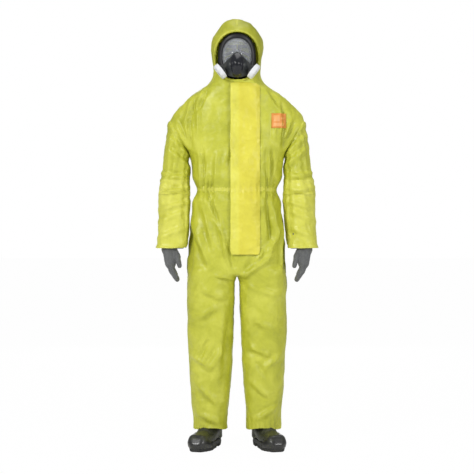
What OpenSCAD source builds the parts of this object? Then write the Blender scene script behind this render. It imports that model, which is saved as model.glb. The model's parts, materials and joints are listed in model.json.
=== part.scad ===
// Chemical protective ensemble: hooded coverall with double cuffs, a full-face
// respirator, knit gloves and safety boots, standing as if worn by nobody.
// X runs from the wearer's right to the left, the suit faces -Y and Z is up.

/* [Coverall] */
// Height of the top of the hood above the floor
hood_top_z = 1849; // [1820:1:1880]
// Height of the crotch seam
crotch_z = 742; // [735:1:750]
// Half width of the hem of the jacket part at the hips
hip_half = 213; // [205:1:218]
// Half width at the waist elastic
waist_half = 170; // [160:1:176]
// Thickness that each fabric panel is given
wall = 3; // [2:0.5:4]

/* [Front closure] */
// Distance of the zip from the middle of the suit
zip_x = 35; // [30:1:40]
// Width of the storm flap
flap_w = 126; // [110:1:130]
// Opening left between the two front panels for the zip
zip_gap = 12; // [11:0.5:14]

/* [Limbs] */
// Height of the seam between upper and lower sleeve
elbow_z = 1112; // [1100:1:1120]
// Height of the sleeve cuff
cuff_z = 857; // [850:1:865]
// Height at which the trouser leg bends at the knee
knee_z = 490; // [470:1:510]
// Height of the trouser hem at the heel
hem_z = 66; // [62:1:74]
// Distance of each leg from the middle
leg_x = 111; // [109:1:113]

/* [Respirator] */
// Half width of the face seal
seal_half_w = 82; // [80:1:84]
// Half height of the face seal
seal_half_h = 101; // [100:1:104]
// Diameter of each filter cartridge
filter_d = 68; // [60:1:70]
// Thickness of each filter cartridge
filter_t = 21; // [16:1:22]

/* [Boots and gloves] */
// Length of the boot sole
boot_len = 286; // [280:1:300]
// Angle at which each boot points outwards
boot_splay = 19; // [15:1:30]
// Distance that the glove reaches below the cuff
glove_reach = 160; // [140:1:165]

/* [Hidden] */

// The origin is on the floor under the middle of the whole outline
body_y = 32.6;
seam = 0.5;
fabric = "#c7c84e";
flap_fabric = "#e3de62";
tape_grey = "#8c8c84";
rubber = "#2b2d2c";
knit = "#5d5f5f";

// Heights on the trunk
armpit_z = 1275;
shoulder_tip_z = 1414;
shoulder_z = 1449;
neck_z = 1562;
collar_z = 1545;
flap_low_z = 842;
flap_high_z = 1560;
chin_z = 1570;
brow_z = 1788;
nape_z = 1566;

function mix(a, b, f) = a + (b - a) * f;
function spow(v, p) = sign(v) * pow(abs(v), p);
function clip(v, lo, hi) = min(max(v, lo), hi);

// Outline of the trunk and hood, by height
function half_at(z) = lookup(z, [
  [crotch_z, hip_half], [875, hip_half - 6], [979, hip_half - 11],
  [1030, hip_half - 24], [1110, waist_half], [1200, waist_half + 16],
  [armpit_z, 207], [shoulder_tip_z, 294], [shoulder_z, 276], [1510, 195],
  [neck_z, 126], [1585, 106], [1610, 101], [1640, 102], [1680, 109],
  [1718, 115], [1762, 112], [1805, 84], [1828, 64], [1845, 42],
  [hood_top_z, 4]
]);
function front_at(z) = lookup(z, [
  [crotch_z, -128], [flap_low_z, -136], [collar_z, -101], [1600, -92],
  [brow_z, -88], [1818, -68], [1840, -38], [hood_top_z, -2]
]);
function back_at(z) = lookup(z, [
  [crotch_z, 120], [850, 128], [979, 118], [1110, 98], [1200, 106],
  [1350, 122], [shoulder_z, 112], [1510, 100], [collar_z, 96], [1600, 92],
  [1680, 104], [1744, 108], [1790, 97], [1820, 70], [1840, 42],
  [hood_top_z, 6]
]);
function power_at(z) = lookup(z, [
  [crotch_z, 2.6], [1110, 2.5], [armpit_z, 2.8], [1350, 2.6],
  [shoulder_tip_z, 2.2], [shoulder_z, 2], [neck_z, 2.4], [1680, 2.3],
  [hood_top_z, 2]
]);

// Half depth of the armhole at a height
arm_depth = 70;
function armhole_y(z) =
  let (f = (2 * z - armpit_z - shoulder_tip_z) / (shoulder_tip_z - armpit_z))
  abs(f) < 1 ? arm_depth * sqrt(1 - f * f) : 0;

function depth_at(z) = (back_at(z) - front_at(z)) / 2;
function mid_at(z) = (back_at(z) + front_at(z)) / 2;
function open_share(z) = pow(armhole_y(z) / depth_at(z), power_at(z));
function full_half(z) =
  half_at(z) / pow(1 - open_share(z), 1 / power_at(z));
function side_angle(z) = asin(sqrt(open_share(z)));

// Point on the trunk at an angle round it, a depth below its surface
function trunk(t, z, d = 0) = [
  (full_half(z) - d) * spow(cos(t), 2 / power_at(z)),
  mid_at(z) + (depth_at(z) - d) * spow(sin(t), 2 / power_at(z)),
  z
];
// Angle at which the front of the trunk passes a distance x
function front_angle(x, z) =
  360 - acos(clip(spow(x / full_half(z), power_at(z) / 2), -1, 1));
function trunk_front(x, z, d = 0) =
  let (a = full_half(z), n = power_at(z))
  [x, mid_at(z) - (depth_at(z) - d)
      * pow(max(1 - pow(abs(x) / a, n), 0), 1 / n), z];

// Half of the opening between the front panels; they are sewn below the zip
function zip_edge(z) = z < flap_low_z - 40 ? seam / 2 : zip_gap / 2;

// Closed solid between a surface and the same surface a wall below it.
// surf(u, v, d) takes u and v from 0 to 1; u runs anticlockwise seen from
// above and v upwards. A ring joins u = 1 to u = 0.
module skin(nu, nv, surf, thick = wall, ring = false) {
  wide = ring ? nu : nu + 1;
  layer = wide * (nv + 1);
  points = [
    for (d = [0, thick])
      for (j = [0:nv])
        for (i = [0:wide - 1])
          surf(i / nu, j / nv, d)
  ];
  function at(i, j, k) = k * layer + j * wide + i % wide;
  function quad(a, b, c, d) = [[a, b, c], [a, c, d]];
  faces = [
    for (j = [0:nv - 1])
      for (i = [0:nu - 1])
        each concat(
          quad(at(i, j, 0), at(i, j + 1, 0), at(i + 1, j + 1, 0), at(i + 1, j, 0)),
          quad(at(i, j, 1), at(i + 1, j, 1), at(i + 1, j + 1, 1), at(i, j + 1, 1))
        ),
    for (i = [0:nu - 1])
      each concat(
        quad(at(i, 0, 0), at(i + 1, 0, 0), at(i + 1, 0, 1), at(i, 0, 1)),
        quad(at(i, nv, 0), at(i, nv, 1), at(i + 1, nv, 1), at(i + 1, nv, 0))
      ),
    if (!ring)
      for (j = [0:nv - 1])
        each concat(
          quad(at(0, j, 0), at(0, j, 1), at(0, j + 1, 1), at(0, j + 1, 0)),
          quad(at(nu, j, 0), at(nu, j + 1, 0), at(nu, j + 1, 1), at(nu, j, 1))
        )
  ];
  polyhedron(points, faces, convexity = 6);
}

module place() { translate([0, body_y, 0]) children(); }
module flip() { mirror([1, 0, 0]) children(); }

// ---------------------------------------------------------------- trunk
module torso_front_right() {
  color(fabric) place()
    skin(10, 20, function (u, v, d)
      let (z = mix(crotch_z, collar_z, v),
           t = mix(180 + side_angle(z) + seam / 3,
                   front_angle(zip_x - zip_edge(z), z), u))
      trunk(t, z, d));
}
module torso_front_left() {
  color(fabric) place()
    skin(10, 20, function (u, v, d)
      let (z = mix(crotch_z, collar_z, v),
           t = mix(front_angle(zip_x + zip_edge(z), z),
                   360 - side_angle(z) - seam / 3, u))
      trunk(t, z, d));
}
module torso_back() {
  color(fabric) place()
    skin(14, 20, function (u, v, d)
      let (z = mix(crotch_z, collar_z, v),
           s = side_angle(z) + seam / 3)
      trunk(mix(s, 180 - s, u), z, d));
}

gusset_len = 95;
gusset_half = 32;
gusset_rise = 26;
gusset_sag = 6;
// Saddle that joins the two legs under the trunk
module crotch_gusset() {
  low = crotch_z - gusset_rise - wall - 2;
  color(fabric) place()
    skin(8, 8, function (u, v, d)
      let (s = mix(-1, 1, u),
           w = gusset_half * (1 - 0.82 * pow(abs(s), 1.6)),
           c = mix(-1, 1, v))
      [w * c, gusset_len * s,
       low + gusset_rise * s * s - gusset_sag * c * c * w / gusset_half + d]);
}
waist_z = 1110;
module waist_elastic() {
  high = 22;
  skip = 8;
  color(tape_grey) place()
    skin(28, 1, function (u, v, d)
      let (z = waist_z + high * (v - 0.5),
           start = front_angle(zip_x + flap_w / 2, z) + skip,
           stop = front_angle(zip_x - flap_w / 2, z) - skip)
      trunk(mix(start - 360, stop, u), z, wall + 2.2 + d), 2);
}
module chest_label() {
  side = 63;
  x = 147;
  low = 1374;
  color("#e2974a") place()
    skin(5, 5, function (u, v, d)
      trunk_front(x + side * u, low + side * v, d - 2.2), 1.2);
}

// -------------------------------------------------------------- closure
// The zip is straight and leans back by the slope of the front
zip_low_z = 862;
zip_high_z = 1552;
zip_slope = (front_at(collar_z) - front_at(flap_low_z))
  / (collar_z - flap_low_z);
zip_lean = atan(zip_slope);
zip_len = (zip_high_z - zip_low_z) / cos(zip_lean);
// Everything drawn inside stands on the zip line, +Z along it
module on_zip(up = 0) {
  place()
    translate([zip_x, front_at(zip_low_z), zip_low_z])
      rotate([-zip_lean, 0, 0])
        translate([0, 0, up])
          children();
}
tape_w = 11;
tape_t = 1;
tape_y = wall + 5;
module zip_tape_left() {
  color(tape_grey) on_zip()
    translate([2.2, tape_y, 0])
      cube([tape_w, tape_t, zip_len]);
}
module zip_tape_right() {
  color(tape_grey) on_zip()
    translate([-2.2 - tape_w, tape_y, 0])
      cube([tape_w, tape_t, zip_len]);
}
// Two rows of coil, meeting in the middle
module zip_chain() {
  color("#c9c65a") on_zip(8)
    for (side = [-1, 1])
      translate([side * 1.1, tape_y + tape_t / 2, 0])
        cylinder(h = zip_len - 16, r = 0.95, $fn = 16);
}
module zip_stops() {
  color("#b9bab4") on_zip()
    for (z = [1, zip_len - 6])
      translate([-2, tape_y - 0.9, z])
        cube([4, 2.8, 5]);
}
slider_up = zip_len - 26;
slider_w = 10;
slider_h = 15;
// Front and back plates joined by a wedge between the coils' upper ends
module zip_slider() {
  color("#c8c9c2") on_zip(slider_up)
    difference() {
      translate([-slider_w / 2, tape_y - 2.4, 0])
        cube([slider_w, 5.8, slider_h]);
      translate([-slider_w / 2 - 1, tape_y - 0.9, -1])
        cube([slider_w + 2, 2.8, slider_h + 2]);
    }
  color("#c8c9c2") on_zip(slider_up)
    difference() {
      translate([-2.2, -0.3, slider_h - 5])
        cube([4.4, tape_y - 2.3, 4]);
      translate([0, 2.2, slider_h - 3])
        rotate([0, 90, 0])
          cylinder(h = 12, r = 1.2, center = true, $fn = 24);
    }
}
pull_len = 40;
module zip_pull() {
  color("#c8c9c2") on_zip(slider_up + slider_h - 3)
    translate([0, 2.2, 0]) {
      rotate([0, 90, 0])
        cylinder(h = 6.4, r = 0.9, center = true, $fn = 24);
      for (side = [-1, 1])
        translate([side * 3.1 - 0.8, -1.2, -pull_len])
          cube([1.6, 2.1, pull_len + 1.2]);
      translate([-3.9, -1.2, -pull_len])
        cube([7.8, 2.1, pull_len - 9]);
    }
}
// Strip behind the zip that keeps it off the wearer
module zip_guard() {
  color(fabric) on_zip()
    translate([-28, tape_y + 6, 0])
      cube([56, 2, zip_len - 4]);
}
// Gap between the front and the flap, wider below the chin
function flap_clear(z) = 5.5 + 3 * clip((z - 1490) / 40, 0, 1);
module storm_flap() {
  color(flap_fabric) place()
    skin(10, 20, function (u, v, d)
      let (z = mix(flap_low_z, flap_high_z, v))
      trunk_front(zip_x + flap_w * (u - 0.5), z, d - flap_clear(z) - wall));
}
// Two double-sided adhesive strips under the free side of the flap
module flap_tape() {
  strip_w = 14;
  color("#f3f1dd") place()
    for (x = [zip_x - flap_w / 2 + 6, zip_x - flap_w / 2 + 26])
      skin(1, 18, function (u, v, d)
        let (z = mix(flap_low_z + 10, flap_high_z - 10, v))
        trunk_front(x + strip_w * u, z, d - flap_clear(z) + 1.4), 1);
}

// ----------------------------------------------------------------- hood
// Half width of the face opening at a height
opening_half = 88;
function opening_at(z) =
  let (f = (2 * z - chin_z - brow_z) / (brow_z - chin_z))
  abs(f) < 1 ? opening_half * pow(1 - pow(abs(f), 2.2), 1 / 2.2) : 0;
// The hood bends in a slanting plane from the nape to the cheeks
hood_slope = 0.52;
bend_gap = 1.5;
function bend_z(y) = nape_z + (back_at(nape_z) - y) * hood_slope;

// Angles round the collar, from the left edge of its opening to the right one
function collar_angle(u, z) =
  let (left = front_angle(max(zip_x + zip_gap / 2, opening_at(z)), z),
       right = front_angle(min(zip_x - zip_gap / 2, -opening_at(z)), z))
  mix(left - 360, right, u);
// Angles round one half of the hood, from the face opening to the back
function hood_angle(u, z) =
  mix(front_angle(max(opening_at(z), 1.2), z) - 360, 90 - seam, u);
// Height at which a column of either surface crosses the bending plane
function bend_of(u, angle, z = 1600, tries = 6) =
  tries == 0 ? z
    : bend_of(u, angle, bend_z(trunk(angle(u, z), z)[1]), tries - 1);

module hood_collar() {
  color(fabric) place()
    skin(32, 4, function (u, v, d)
      let (top = bend_of(u, function (a, b) collar_angle(a, b)) - bend_gap,
           z = mix(collar_z + seam, top, v))
      trunk(collar_angle(u, z), z, d));
}
module hood_side() {
  skin(14, 12, function (u, v, d)
    let (low = bend_of(u, function (a, b) hood_angle(a, b)),
         z = mix(low, hood_top_z, 1 - pow(1 - v, 1.5)))
    trunk(hood_angle(u, z), z, d));
}
module hood_left() { color(fabric) place() hood_side(); }
module hood_right() { color(fabric) place() flip() hood_side(); }

// Tape over the middle seam, from the brow over the top to the nape
module hood_crown_tape() {
  half_w = 11;
  low = brow_z + 8;
  function arch(v, d) = let (
      turn = mix(-1, 1, v),
      z = turn < 0 ? mix(hood_top_z, low, turn * turn)
                   : mix(hood_top_z, nape_z + 14, turn * turn))
    [turn < 0 ? front_at(z) + d : back_at(z) - d, z];
  color(flap_fabric) place()
    skin(2, 22, function (u, v, d)
      let (p = arch(v, d - 3),
           lift = 4 * (1 - pow(abs(mix(-1, 1, v)), 1.5)))
      [mix(-half_w, half_w, u), p[0], p[1] + lift - d * 0.8], 1.5);
}
// Elastic binding sewn on the edge of the hood round the face opening
binding_w = 9;
module face_elastic() {
  color(flap_fabric) place()
    skin(24, 1, function (u, v, d)
      let (phi = mix(-8, 188, u),
           z = (chin_z + brow_z) / 2
             + (brow_z - chin_z) / 2 * spow(sin(phi), 2 / 2.2),
           w = opening_half * spow(cos(phi), 2 / 2.2),
           y = trunk_front(w, clip(z, 1600, brow_z))[1] - 2.6,
           out = binding_w * (1 - v) - 1)
      [w + out * cos(phi), y + d + out * 0.25, z + out * sin(phi)], 1.6);
}

// --------------------------------------------------------------- sleeve
// Outline of the left sleeve as seen from the front, by distance along it
function sleeve_at(s) = [
  lookup(s, [[0, 295], [0.14, 311], [0.34, 328], [0.54, 348], [1, 354]]),
  lookup(s, [[0, shoulder_tip_z], [0.14, 1344], [0.34, 1240],
             [0.54, elbow_z], [1, cuff_z]]),
  lookup(s, [[0, 212], [0.14, 207], [0.34, 199], [0.54, 192], [1, 216]]),
  lookup(s, [[0, armpit_z], [0.14, 1252], [0.34, 1195],
             [0.54, elbow_z], [1, cuff_z]]),
  lookup(s, [[0, arm_depth], [0.2, 74], [0.54, 67], [1, 60]]),
  lookup(s, [[0, mid_at(1345)], [0.3, 0], [0.54, -10], [1, -34]])
];
function sleeve(t, s, d) =
  let (k = sleeve_at(s),
       run = [k[0] - k[2], k[1] - k[3]],
       across = run / norm(run),
       half = norm(run) / 2 - d,
       c = half * spow(cos(t), 0.9))
  [(k[0] + k[2]) / 2 + across[0] * c,
   k[5] + (k[4] - d) * spow(sin(t), 0.9),
   (k[1] + k[3]) / 2 + across[1] * c];
elbow_s = 0.54;
module sleeve_upper() {
  skin(20, 9, function (u, v, d)
    sleeve(360 * u, mix(elbow_s - 0.001, 0.004, v), d), wall, true);
}
module sleeve_lower() {
  skin(20, 7, function (u, v, d)
    sleeve(360 * u, mix(1, elbow_s + 0.001, v), d), wall, true);
}
module sleeve_upper_left() { color(fabric) place() sleeve_upper(); }
module sleeve_upper_right() { color(fabric) place() flip() sleeve_upper(); }
module sleeve_lower_left() { color(flap_fabric) place() sleeve_lower(); }
module sleeve_lower_right() { color(flap_fabric) place() flip() sleeve_lower(); }
// Tape ring just below the sleeve seam
module sleeve_tape() {
  skin(20, 1, function (u, v, d)
    sleeve(360 * u, elbow_s + mix(0.05, 0.006, v), d - 2.4), 1.6, true);
}
module sleeve_seam_tape_left() { color(flap_fabric) place() sleeve_tape(); }
module sleeve_seam_tape_right() { color(flap_fabric) place() flip() sleeve_tape(); }
// Second cuff inside the sleeve, tight to the wrist
module inner_cuff() {
  taper = 4;
  skin(20, 4, function (u, v, d)
    sleeve(360 * u, mix(0.99, 0.86, v), d + wall + 1 + taper * (1 - v)), 2, true);
}
module inner_cuff_left() { color(fabric) place() inner_cuff(); }
module inner_cuff_right() { color(fabric) place() flip() inner_cuff(); }

// ------------------------------------------------------------------ leg
function leg_out(z) = lookup(z, [
  [hem_z, 75], [110, 79], [240, 90], [370, 98], [knee_z, 103], [630, 103],
  [crotch_z, hip_half - leg_x]
]);
function leg_in(z) = lookup(z, [
  [hem_z, 62], [110, 68], [240, 82], [370, 91], [knee_z, 96], [630, 100],
  [crotch_z, leg_x - 9]
]);
function leg_front(z) = lookup(z, [
  [hem_z, -82], [110, -84], [240, -86], [knee_z, -104], [630, -116],
  [crotch_z, -126]
]);
function leg_back(z) = lookup(z, [
  [hem_z, 86], [110, 82], [240, 84], [knee_z, 92], [630, 108],
  [crotch_z, 118]
]);
function leg_power(z) = lookup(z, [[knee_z, 2.2], [crotch_z, 2.7]]);
function leg(t, z, d) =
  let (w = cos(t) > 0 ? leg_out(z) : leg_in(z),
       c = (leg_front(z) + leg_back(z)) / 2,
       h = (leg_back(z) - leg_front(z)) / 2,
       n = leg_power(z))
  [leg_x + (w - d) * spow(cos(t), 2 / n), c + (h - d) * spow(sin(t), 2 / n), z];
// The top of the leg is cut away on the inside for the gusset
function leg_top(t) =
  let (p = leg(t, crotch_z, 0),
       reach = max(abs(p[1]) / gusset_len, (p[0] - 6) / 60))
  crotch_z - seam - (gusset_rise + 18) * (1 - pow(min(reach, 1), 3));
function leg_hem(t) = hem_z + 19 * (1 - sin(t));
module leg_upper() {
  skin(24, 7, function (u, v, d)
    let (t = 360 * u)
    leg(t, mix(knee_z + seam, leg_top(t), v), d), wall, true);
}
module leg_lower() {
  skin(24, 7, function (u, v, d)
    let (t = 360 * u)
    leg(t, mix(leg_hem(t), knee_z, v), d), wall, true);
}
module leg_upper_left() { color(fabric) place() leg_upper(); }
module leg_upper_right() { color(fabric) place() flip() leg_upper(); }
module leg_lower_left() { color(fabric) place() leg_lower(); }
module leg_lower_right() { color(fabric) place() flip() leg_lower(); }
module ankle_elastic() {
  skin(24, 1, function (u, v, d)
    let (t = 360 * u)
    leg(t, leg_hem(t) + mix(6, 18, v), d + wall + 1), 2, true);
}
module ankle_elastic_left() { color(tape_grey) place() ankle_elastic(); }
module ankle_elastic_right() { color(tape_grey) place() flip() ankle_elastic(); }

// ----------------------------------------------------------- respirator
face_z = (chin_z + brow_z) / 2 + 3;
seal_y = -66;
wrap = 26;
lens_share = 0.76;
seal_in_share = 0.66;
// Height of the edge of the seal's outline, shrunk by a share, above face_z
function face_edge(x, share) =
  seal_half_h * share
    * pow(max(1 - pow(abs(x) / (seal_half_w * share), 2.3), 0), 1 / 2.3);
function face_ring(phi, share, y) =
  let (x = seal_half_w * share * spow(cos(phi), 2 / 2.3))
  [x, seal_y + y + wrap * pow(x / seal_half_w, 2),
   face_z + seal_half_h * share * spow(sin(phi), 2 / 2.3)];

module face_ring_skin(share_in, share_out, y_front, thick) {
  skin(40, 1, function (u, v, d)
    face_ring(360 * u, mix(share_out, share_in, v), y_front + d), thick, true);
}
module face_seal() {
  color(rubber) place() face_ring_skin(seal_in_share, 1, 0, 7);
}
module lens_frame() {
  color("#1d1f1f") place() face_ring_skin(lens_share + 0.01, 0.97, -9, 8.5);
}
// Line between the lens and the housing below it
function nose_line(x) = face_z + 26 - 0.95 * abs(x);
function lens_low(x) =
  max(nose_line(x) + 0.6, face_z - face_edge(x, lens_share));
function lens_bulge(x, z) =
  let (r = pow(x / (seal_half_w * lens_share), 2)
         + pow((z - face_z) / (seal_half_h * lens_share), 2))
  34 * (1 - min(r, 1)) + 8;
lens_half = seal_half_w * lens_share - 3;
module mask_lens() {
  color("#c8d2dc", 0.4) place()
    skin(16, 8, function (u, v, d)
      let (x = mix(-lens_half, lens_half, u),
           z = mix(lens_low(x), face_z + face_edge(x, lens_share) - 0.3, v))
      [x, seal_y + wrap * pow(x / seal_half_w, 2) - lens_bulge(x, z) + d, z], 2.5);
}
// Lower half of the mask, which carries the valve and both filters
housing_half = 62;
function housing_low(x) = face_z - face_edge(x, 0.96) + 3;
function housing_bulge(x, z) =
  let (fx = 1 - pow(abs(x) / (housing_half + 4), 2),
       fz = 1 - pow(abs(z - face_z + 40) / 72, 2))
  14 + 62 * max(fx, 0) * max(fz, 0);
function housing_y(x, z) =
  seal_y + wrap * pow(x / seal_half_w, 2) - housing_bulge(x, z);
module front_housing() {
  color("#26282a") place()
    skin(16, 10, function (u, v, d)
      let (x = mix(-housing_half, housing_half, u),
           top = min(nose_line(x) - 0.6, face_z + 24),
           z = mix(housing_low(x), top, v))
      [x, min(housing_y(x, z), seal_y - 11 + wrap * pow(x / seal_half_w, 2)) + d, z],
      3);
}
// Soft cup over the nose and mouth, inside the housing
cup_half = 42;
cup_drop = 78;
cup_depth = 0.72;
module nose_cup() {
  color(rubber) place()
    skin(12, 8, function (u, v, d)
      let (x = mix(-cup_half, cup_half, u),
           z = mix(face_z - cup_drop * (1 - 0.3 * pow(x / cup_half, 2)),
                   face_z + 18 - 0.9 * abs(x), v))
      [x, seal_y + 10 - housing_bulge(x * 1.35, z) * cup_depth + d, z], 2.5);
}
valve_z = face_z - 50;
valve_y = housing_y(0, valve_z);
module on_valve(out) {
  place()
    translate([0, valve_y - out, valve_z])
      rotate([90, 0, 0])
        children();
}
module exhalation_cover() {
  color("#1f2122") on_valve(1.5)
    difference() {
      union() {
        cylinder(h = 9, r = 20, $fn = 48);
        translate([0, 0, 9]) cylinder(h = 3, r1 = 20, r2 = 16, $fn = 48);
      }
      translate([0, 0, -1]) cylinder(h = 8, r = 17, $fn = 48);
      for (turn = [0:60:300])
        rotate([0, 0, turn])
          translate([9, 0, 3])
            cylinder(h = 12, r = 3, $fn = 20);
    }
}
module exhalation_flap() {
  color("#9a9c98") on_valve(2.2)
    cylinder(h = 1, r = 14, $fn = 40);
}

// Axis of the left filter, pointing away from the mask
filter_at = [72, -119, 1612];
filter_turn = [0, 128, -5];
module on_filter(out) {
  place()
    translate(filter_at)
      rotate([0, 0, filter_turn[2]])
        rotate([0, filter_turn[1], 0])
          translate([0, 0, out])
            children();
}
module both_sides() {
  children();
  flip() children();
}
port_len = 9;
port_in = -filter_t / 2 - port_len - 0.6;
module filter_ports() {
  color("#2f3133") both_sides() on_filter(port_in)
    difference() {
      cylinder(h = port_len, r = 19, $fn = 40);
      translate([0, 0, -1]) cylinder(h = port_len - 2, r = 16, $fn = 40);
      translate([0, 0, 1]) cylinder(h = port_len, r = 9, $fn = 32);
    }
}
module filter_gaskets() {
  color("#141515") both_sides() on_filter(port_in + 5)
    difference() {
      cylinder(h = 3, r = 21, $fn = 40);
      translate([0, 0, -1]) cylinder(h = 5, r = 19.2, $fn = 40);
    }
}
module inhalation_flap() {
  on_filter(port_in + port_len - 4.2) cylinder(h = 0.8, r = 13, $fn = 36);
}
module inhalation_flap_left() { color("#9a9c98") inhalation_flap(); }
module inhalation_flap_right() { color("#9a9c98") flip() inhalation_flap(); }
module filter_shell() {
  on_filter(-filter_t / 2)
    difference() {
      union() {
        cylinder(h = filter_t - 4, d = filter_d, $fn = 56);
        translate([0, 0, filter_t - 4])
          cylinder(h = 4, d1 = filter_d, d2 = filter_d - 8, $fn = 56);
      }
      translate([0, 0, 3]) cylinder(h = filter_t - 6, d = filter_d - 6, $fn = 56);
      translate([0, 0, -1]) cylinder(h = 6, r = 14, $fn = 40);
      for (turn = [0:45:315])
        rotate([0, 0, turn])
          translate([19, 0, filter_t - 4])
            cylinder(h = 6, r = 4, $fn = 20);
    }
}
module filter_shell_left() { color("#e4e6e0") filter_shell(); }
module filter_shell_right() { color("#e4e6e0") flip() filter_shell(); }
module filter_media() {
  on_filter(-filter_t / 2 + 3.6)
    cylinder(h = filter_t - 7.2, d = filter_d - 8, $fn = 48);
}
module filter_media_left() { color("#f4f3ea") filter_media(); }
module filter_media_right() { color("#f4f3ea") flip() filter_media(); }

// Where the five straps leave the mask: height above face_z and side
strap_ends = [[0, 96], [64, 62], [-64, 62], [74, -38], [-74, -38]];
module harness_buckles() {
  color("#3a3c3e") place()
    for (e = strap_ends)
      translate([e[0] * 0.96 - 6, seal_y + wrap * pow(e[0] / seal_half_w, 2) + 10.5,
                 face_z + e[1] * 0.94 - 5])
        cube([12, 4, 10]);
}
pad_y = 74;
pad_z = face_z + 44;
module head_harness() {
  strap_w = 14;
  color(rubber) place() {
    for (e = strap_ends)
      skin(1, 12, function (u, v, d)
        let (start = [e[0] * 0.95, seal_y + wrap * pow(e[0] / seal_half_w, 2) + 17,
                      face_z + e[1] * 0.94],
             stop = [sign(e[0]) * 22, pad_y - (e[0] == 0 ? 4 : 6),
                     pad_z + sign(e[1]) * (e[0] == 0 ? 24 : 12)],
             swell = sin(180 * v),
             p = mix(start, stop, v) + [sign(e[0]) * 34 * swell, 0,
                                        e[0] == 0 ? 4 * swell : 0],
             side = e[0] == 0 ? [1, 0, 0] : [0, 0, -sign(e[0])],
             in = e[0] == 0 ? [0, 0, -1] : [-sign(e[0]), 0, 0])
        p + side * strap_w * (u - 0.5) + in * d, 1.8);
    translate([-20, pad_y, pad_z - 20]) cube([40, 2, 40]);
  }
}

// --------------------------------------------------------------- gloves
wrist = [285, -36, cuff_z + 8];
palm_len = 74;
gauntlet_r = 36;
gauntlet_up = 62;
// Centre line of the hand below the wrist; it curls towards the thigh
function hand_at(down, across, fore) =
  wrist + [-down * down * 0.0016 - across, fore, -down];
module finger(from, to, r_from, r_to) {
  hull() {
    translate(from) sphere(r = r_from, $fn = 8);
    translate(to) sphere(r = r_to, $fn = 8);
  }
}
// Oval slice of the gauntlet
module gauntlet_ring(up, r) {
  translate(wrist + [0, 0, up])
    scale([1, 1.08, 1])
      cylinder(h = 4, r = r, $fn = 16);
}
module hand_solid(grow) {
  reach = glove_reach - 10;
  hull() {
    gauntlet_ring(gauntlet_up, gauntlet_r + grow);
    gauntlet_ring(0, gauntlet_r - 4 + grow);
  }
  hull() {
    gauntlet_ring(0, gauntlet_r - 4 + grow);
    for (fore = [-28, 28])
      translate(hand_at(palm_len, 0, fore)) sphere(r = 16 + grow, $fn = 8);
  }
  for (f = [0:3])
    finger(hand_at(palm_len, 0, -31 + 20 * f),
           hand_at(reach - 4 * abs(f - 1.4), 0, -27 + 17 * f),
           12 + grow, 9 + grow);
  // thumb, on the side of the thigh
  finger(hand_at(22, 15, -24), hand_at(96, 32, -48), 15 + grow, 10.5 + grow);
}
module glove() {
  difference() {
    hand_solid(0);
    hand_solid(-3);
    gauntlet_ring(gauntlet_up - 2, gauntlet_r - 3);
    gauntlet_ring(gauntlet_up + 1, gauntlet_r - 3);
  }
}
module glove_left() { color(knit) place() glove(); }
module glove_right() { color(knit) place() flip() glove(); }

// ---------------------------------------------------------------- boots
sole_t = 34;
heel_y = 88;
foot_half = 52;
// Outline of the sole, wide at the ball of the foot and narrow at the waist
function sole_half(f, side) =
  foot_half * pow(sin(180 * clip(f, 0, 1)), 0.42)
    * lookup(f, [[0, 0.74], [0.3, 0.72], [0.68, side > 0 ? 1 : 0.94], [1, 0.86]]);
function sole_ring(shrink, from = 0, to = 1, steps = 18) = concat(
  [for (i = [0:steps]) let (f = mix(from, to, i / steps))
     [sole_half(f, 1) - shrink, heel_y - boot_len * f]],
  [for (i = [steps:-1:0]) let (f = mix(from, to, i / steps))
     [-sole_half(f, -1) + shrink, heel_y - boot_len * f]]
);
module at_foot() {
  place()
    translate([leg_x + 2, 0, 0])
      rotate([0, 0, boot_splay])
        children();
}
module boot_sole() {
  translate([0, 0, 12])
    linear_extrude(sole_t - 12) polygon(sole_ring(0, 0.012, 0.988));
  linear_extrude(12) polygon(sole_ring(2, 0.02, 0.3, 8));
  linear_extrude(12) polygon(sole_ring(2, 0.4, 0.98, 14));
}
toe_r = 28;
toe_spread = 20;
ball_r = 47;
ball_y = -86;
heel_r = 40;
instep_r = 28;
shaft_r = 46;
shaft_y = 8;
ankle_z = 118;
shaft_top = 250;
upper_z = sole_t + seam;
// Oval slice of the boot's shaft
module shaft_ring(up, r) {
  translate([0, shaft_y, up])
    scale([1, 1.15, 1])
      cylinder(h = 4, r = r, $fn = 20);
}
// Upper half of a ball
module sphere_top(r) {
  intersection() {
    sphere(r = r, $fn = 16);
    cylinder(h = 2 * r, r = 2 * r, $fn = 20);
  }
}
// Front of the foot: two balls at the toes and one behind them
module boot_front(low, grow) {
  hull() {
    for (side = [-1, 1])
      translate([side * toe_spread, heel_y - boot_len + 40, low])
        scale([1, 1.2, 1]) sphere_top(toe_r + grow);
    translate([0, ball_y, low]) sphere_top(ball_r + grow);
  }
}
module boot_solid(grow) {
  low = upper_z - (grow < 0 ? 3 * grow : 0);
  boot_front(low, grow);
  hull() {
    translate([0, ball_y, low]) sphere_top(ball_r + grow);
    translate([0, 30, low]) cylinder(h = 74, r = heel_r + grow, $fn = 20);
    translate([0, -38, low + 52]) sphere(r = instep_r + grow, $fn = 12);
  }
  hull() {
    translate([0, 28, low])
      scale([1, 1.25, 1])
        cylinder(h = 20, r = heel_r + grow, $fn = 20);
    shaft_ring(ankle_z, shaft_r + grow);
  }
  hull() {
    shaft_ring(ankle_z, shaft_r + grow);
    shaft_ring(shaft_top - 4, shaft_r + grow);
  }
}
module boot_upper() {
  difference() {
    boot_solid(0);
    boot_solid(-4);
    hull() {
      shaft_ring(shaft_top - 50, shaft_r - 4);
      shaft_ring(shaft_top + 4, shaft_r - 4);
    }
  }
}
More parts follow.
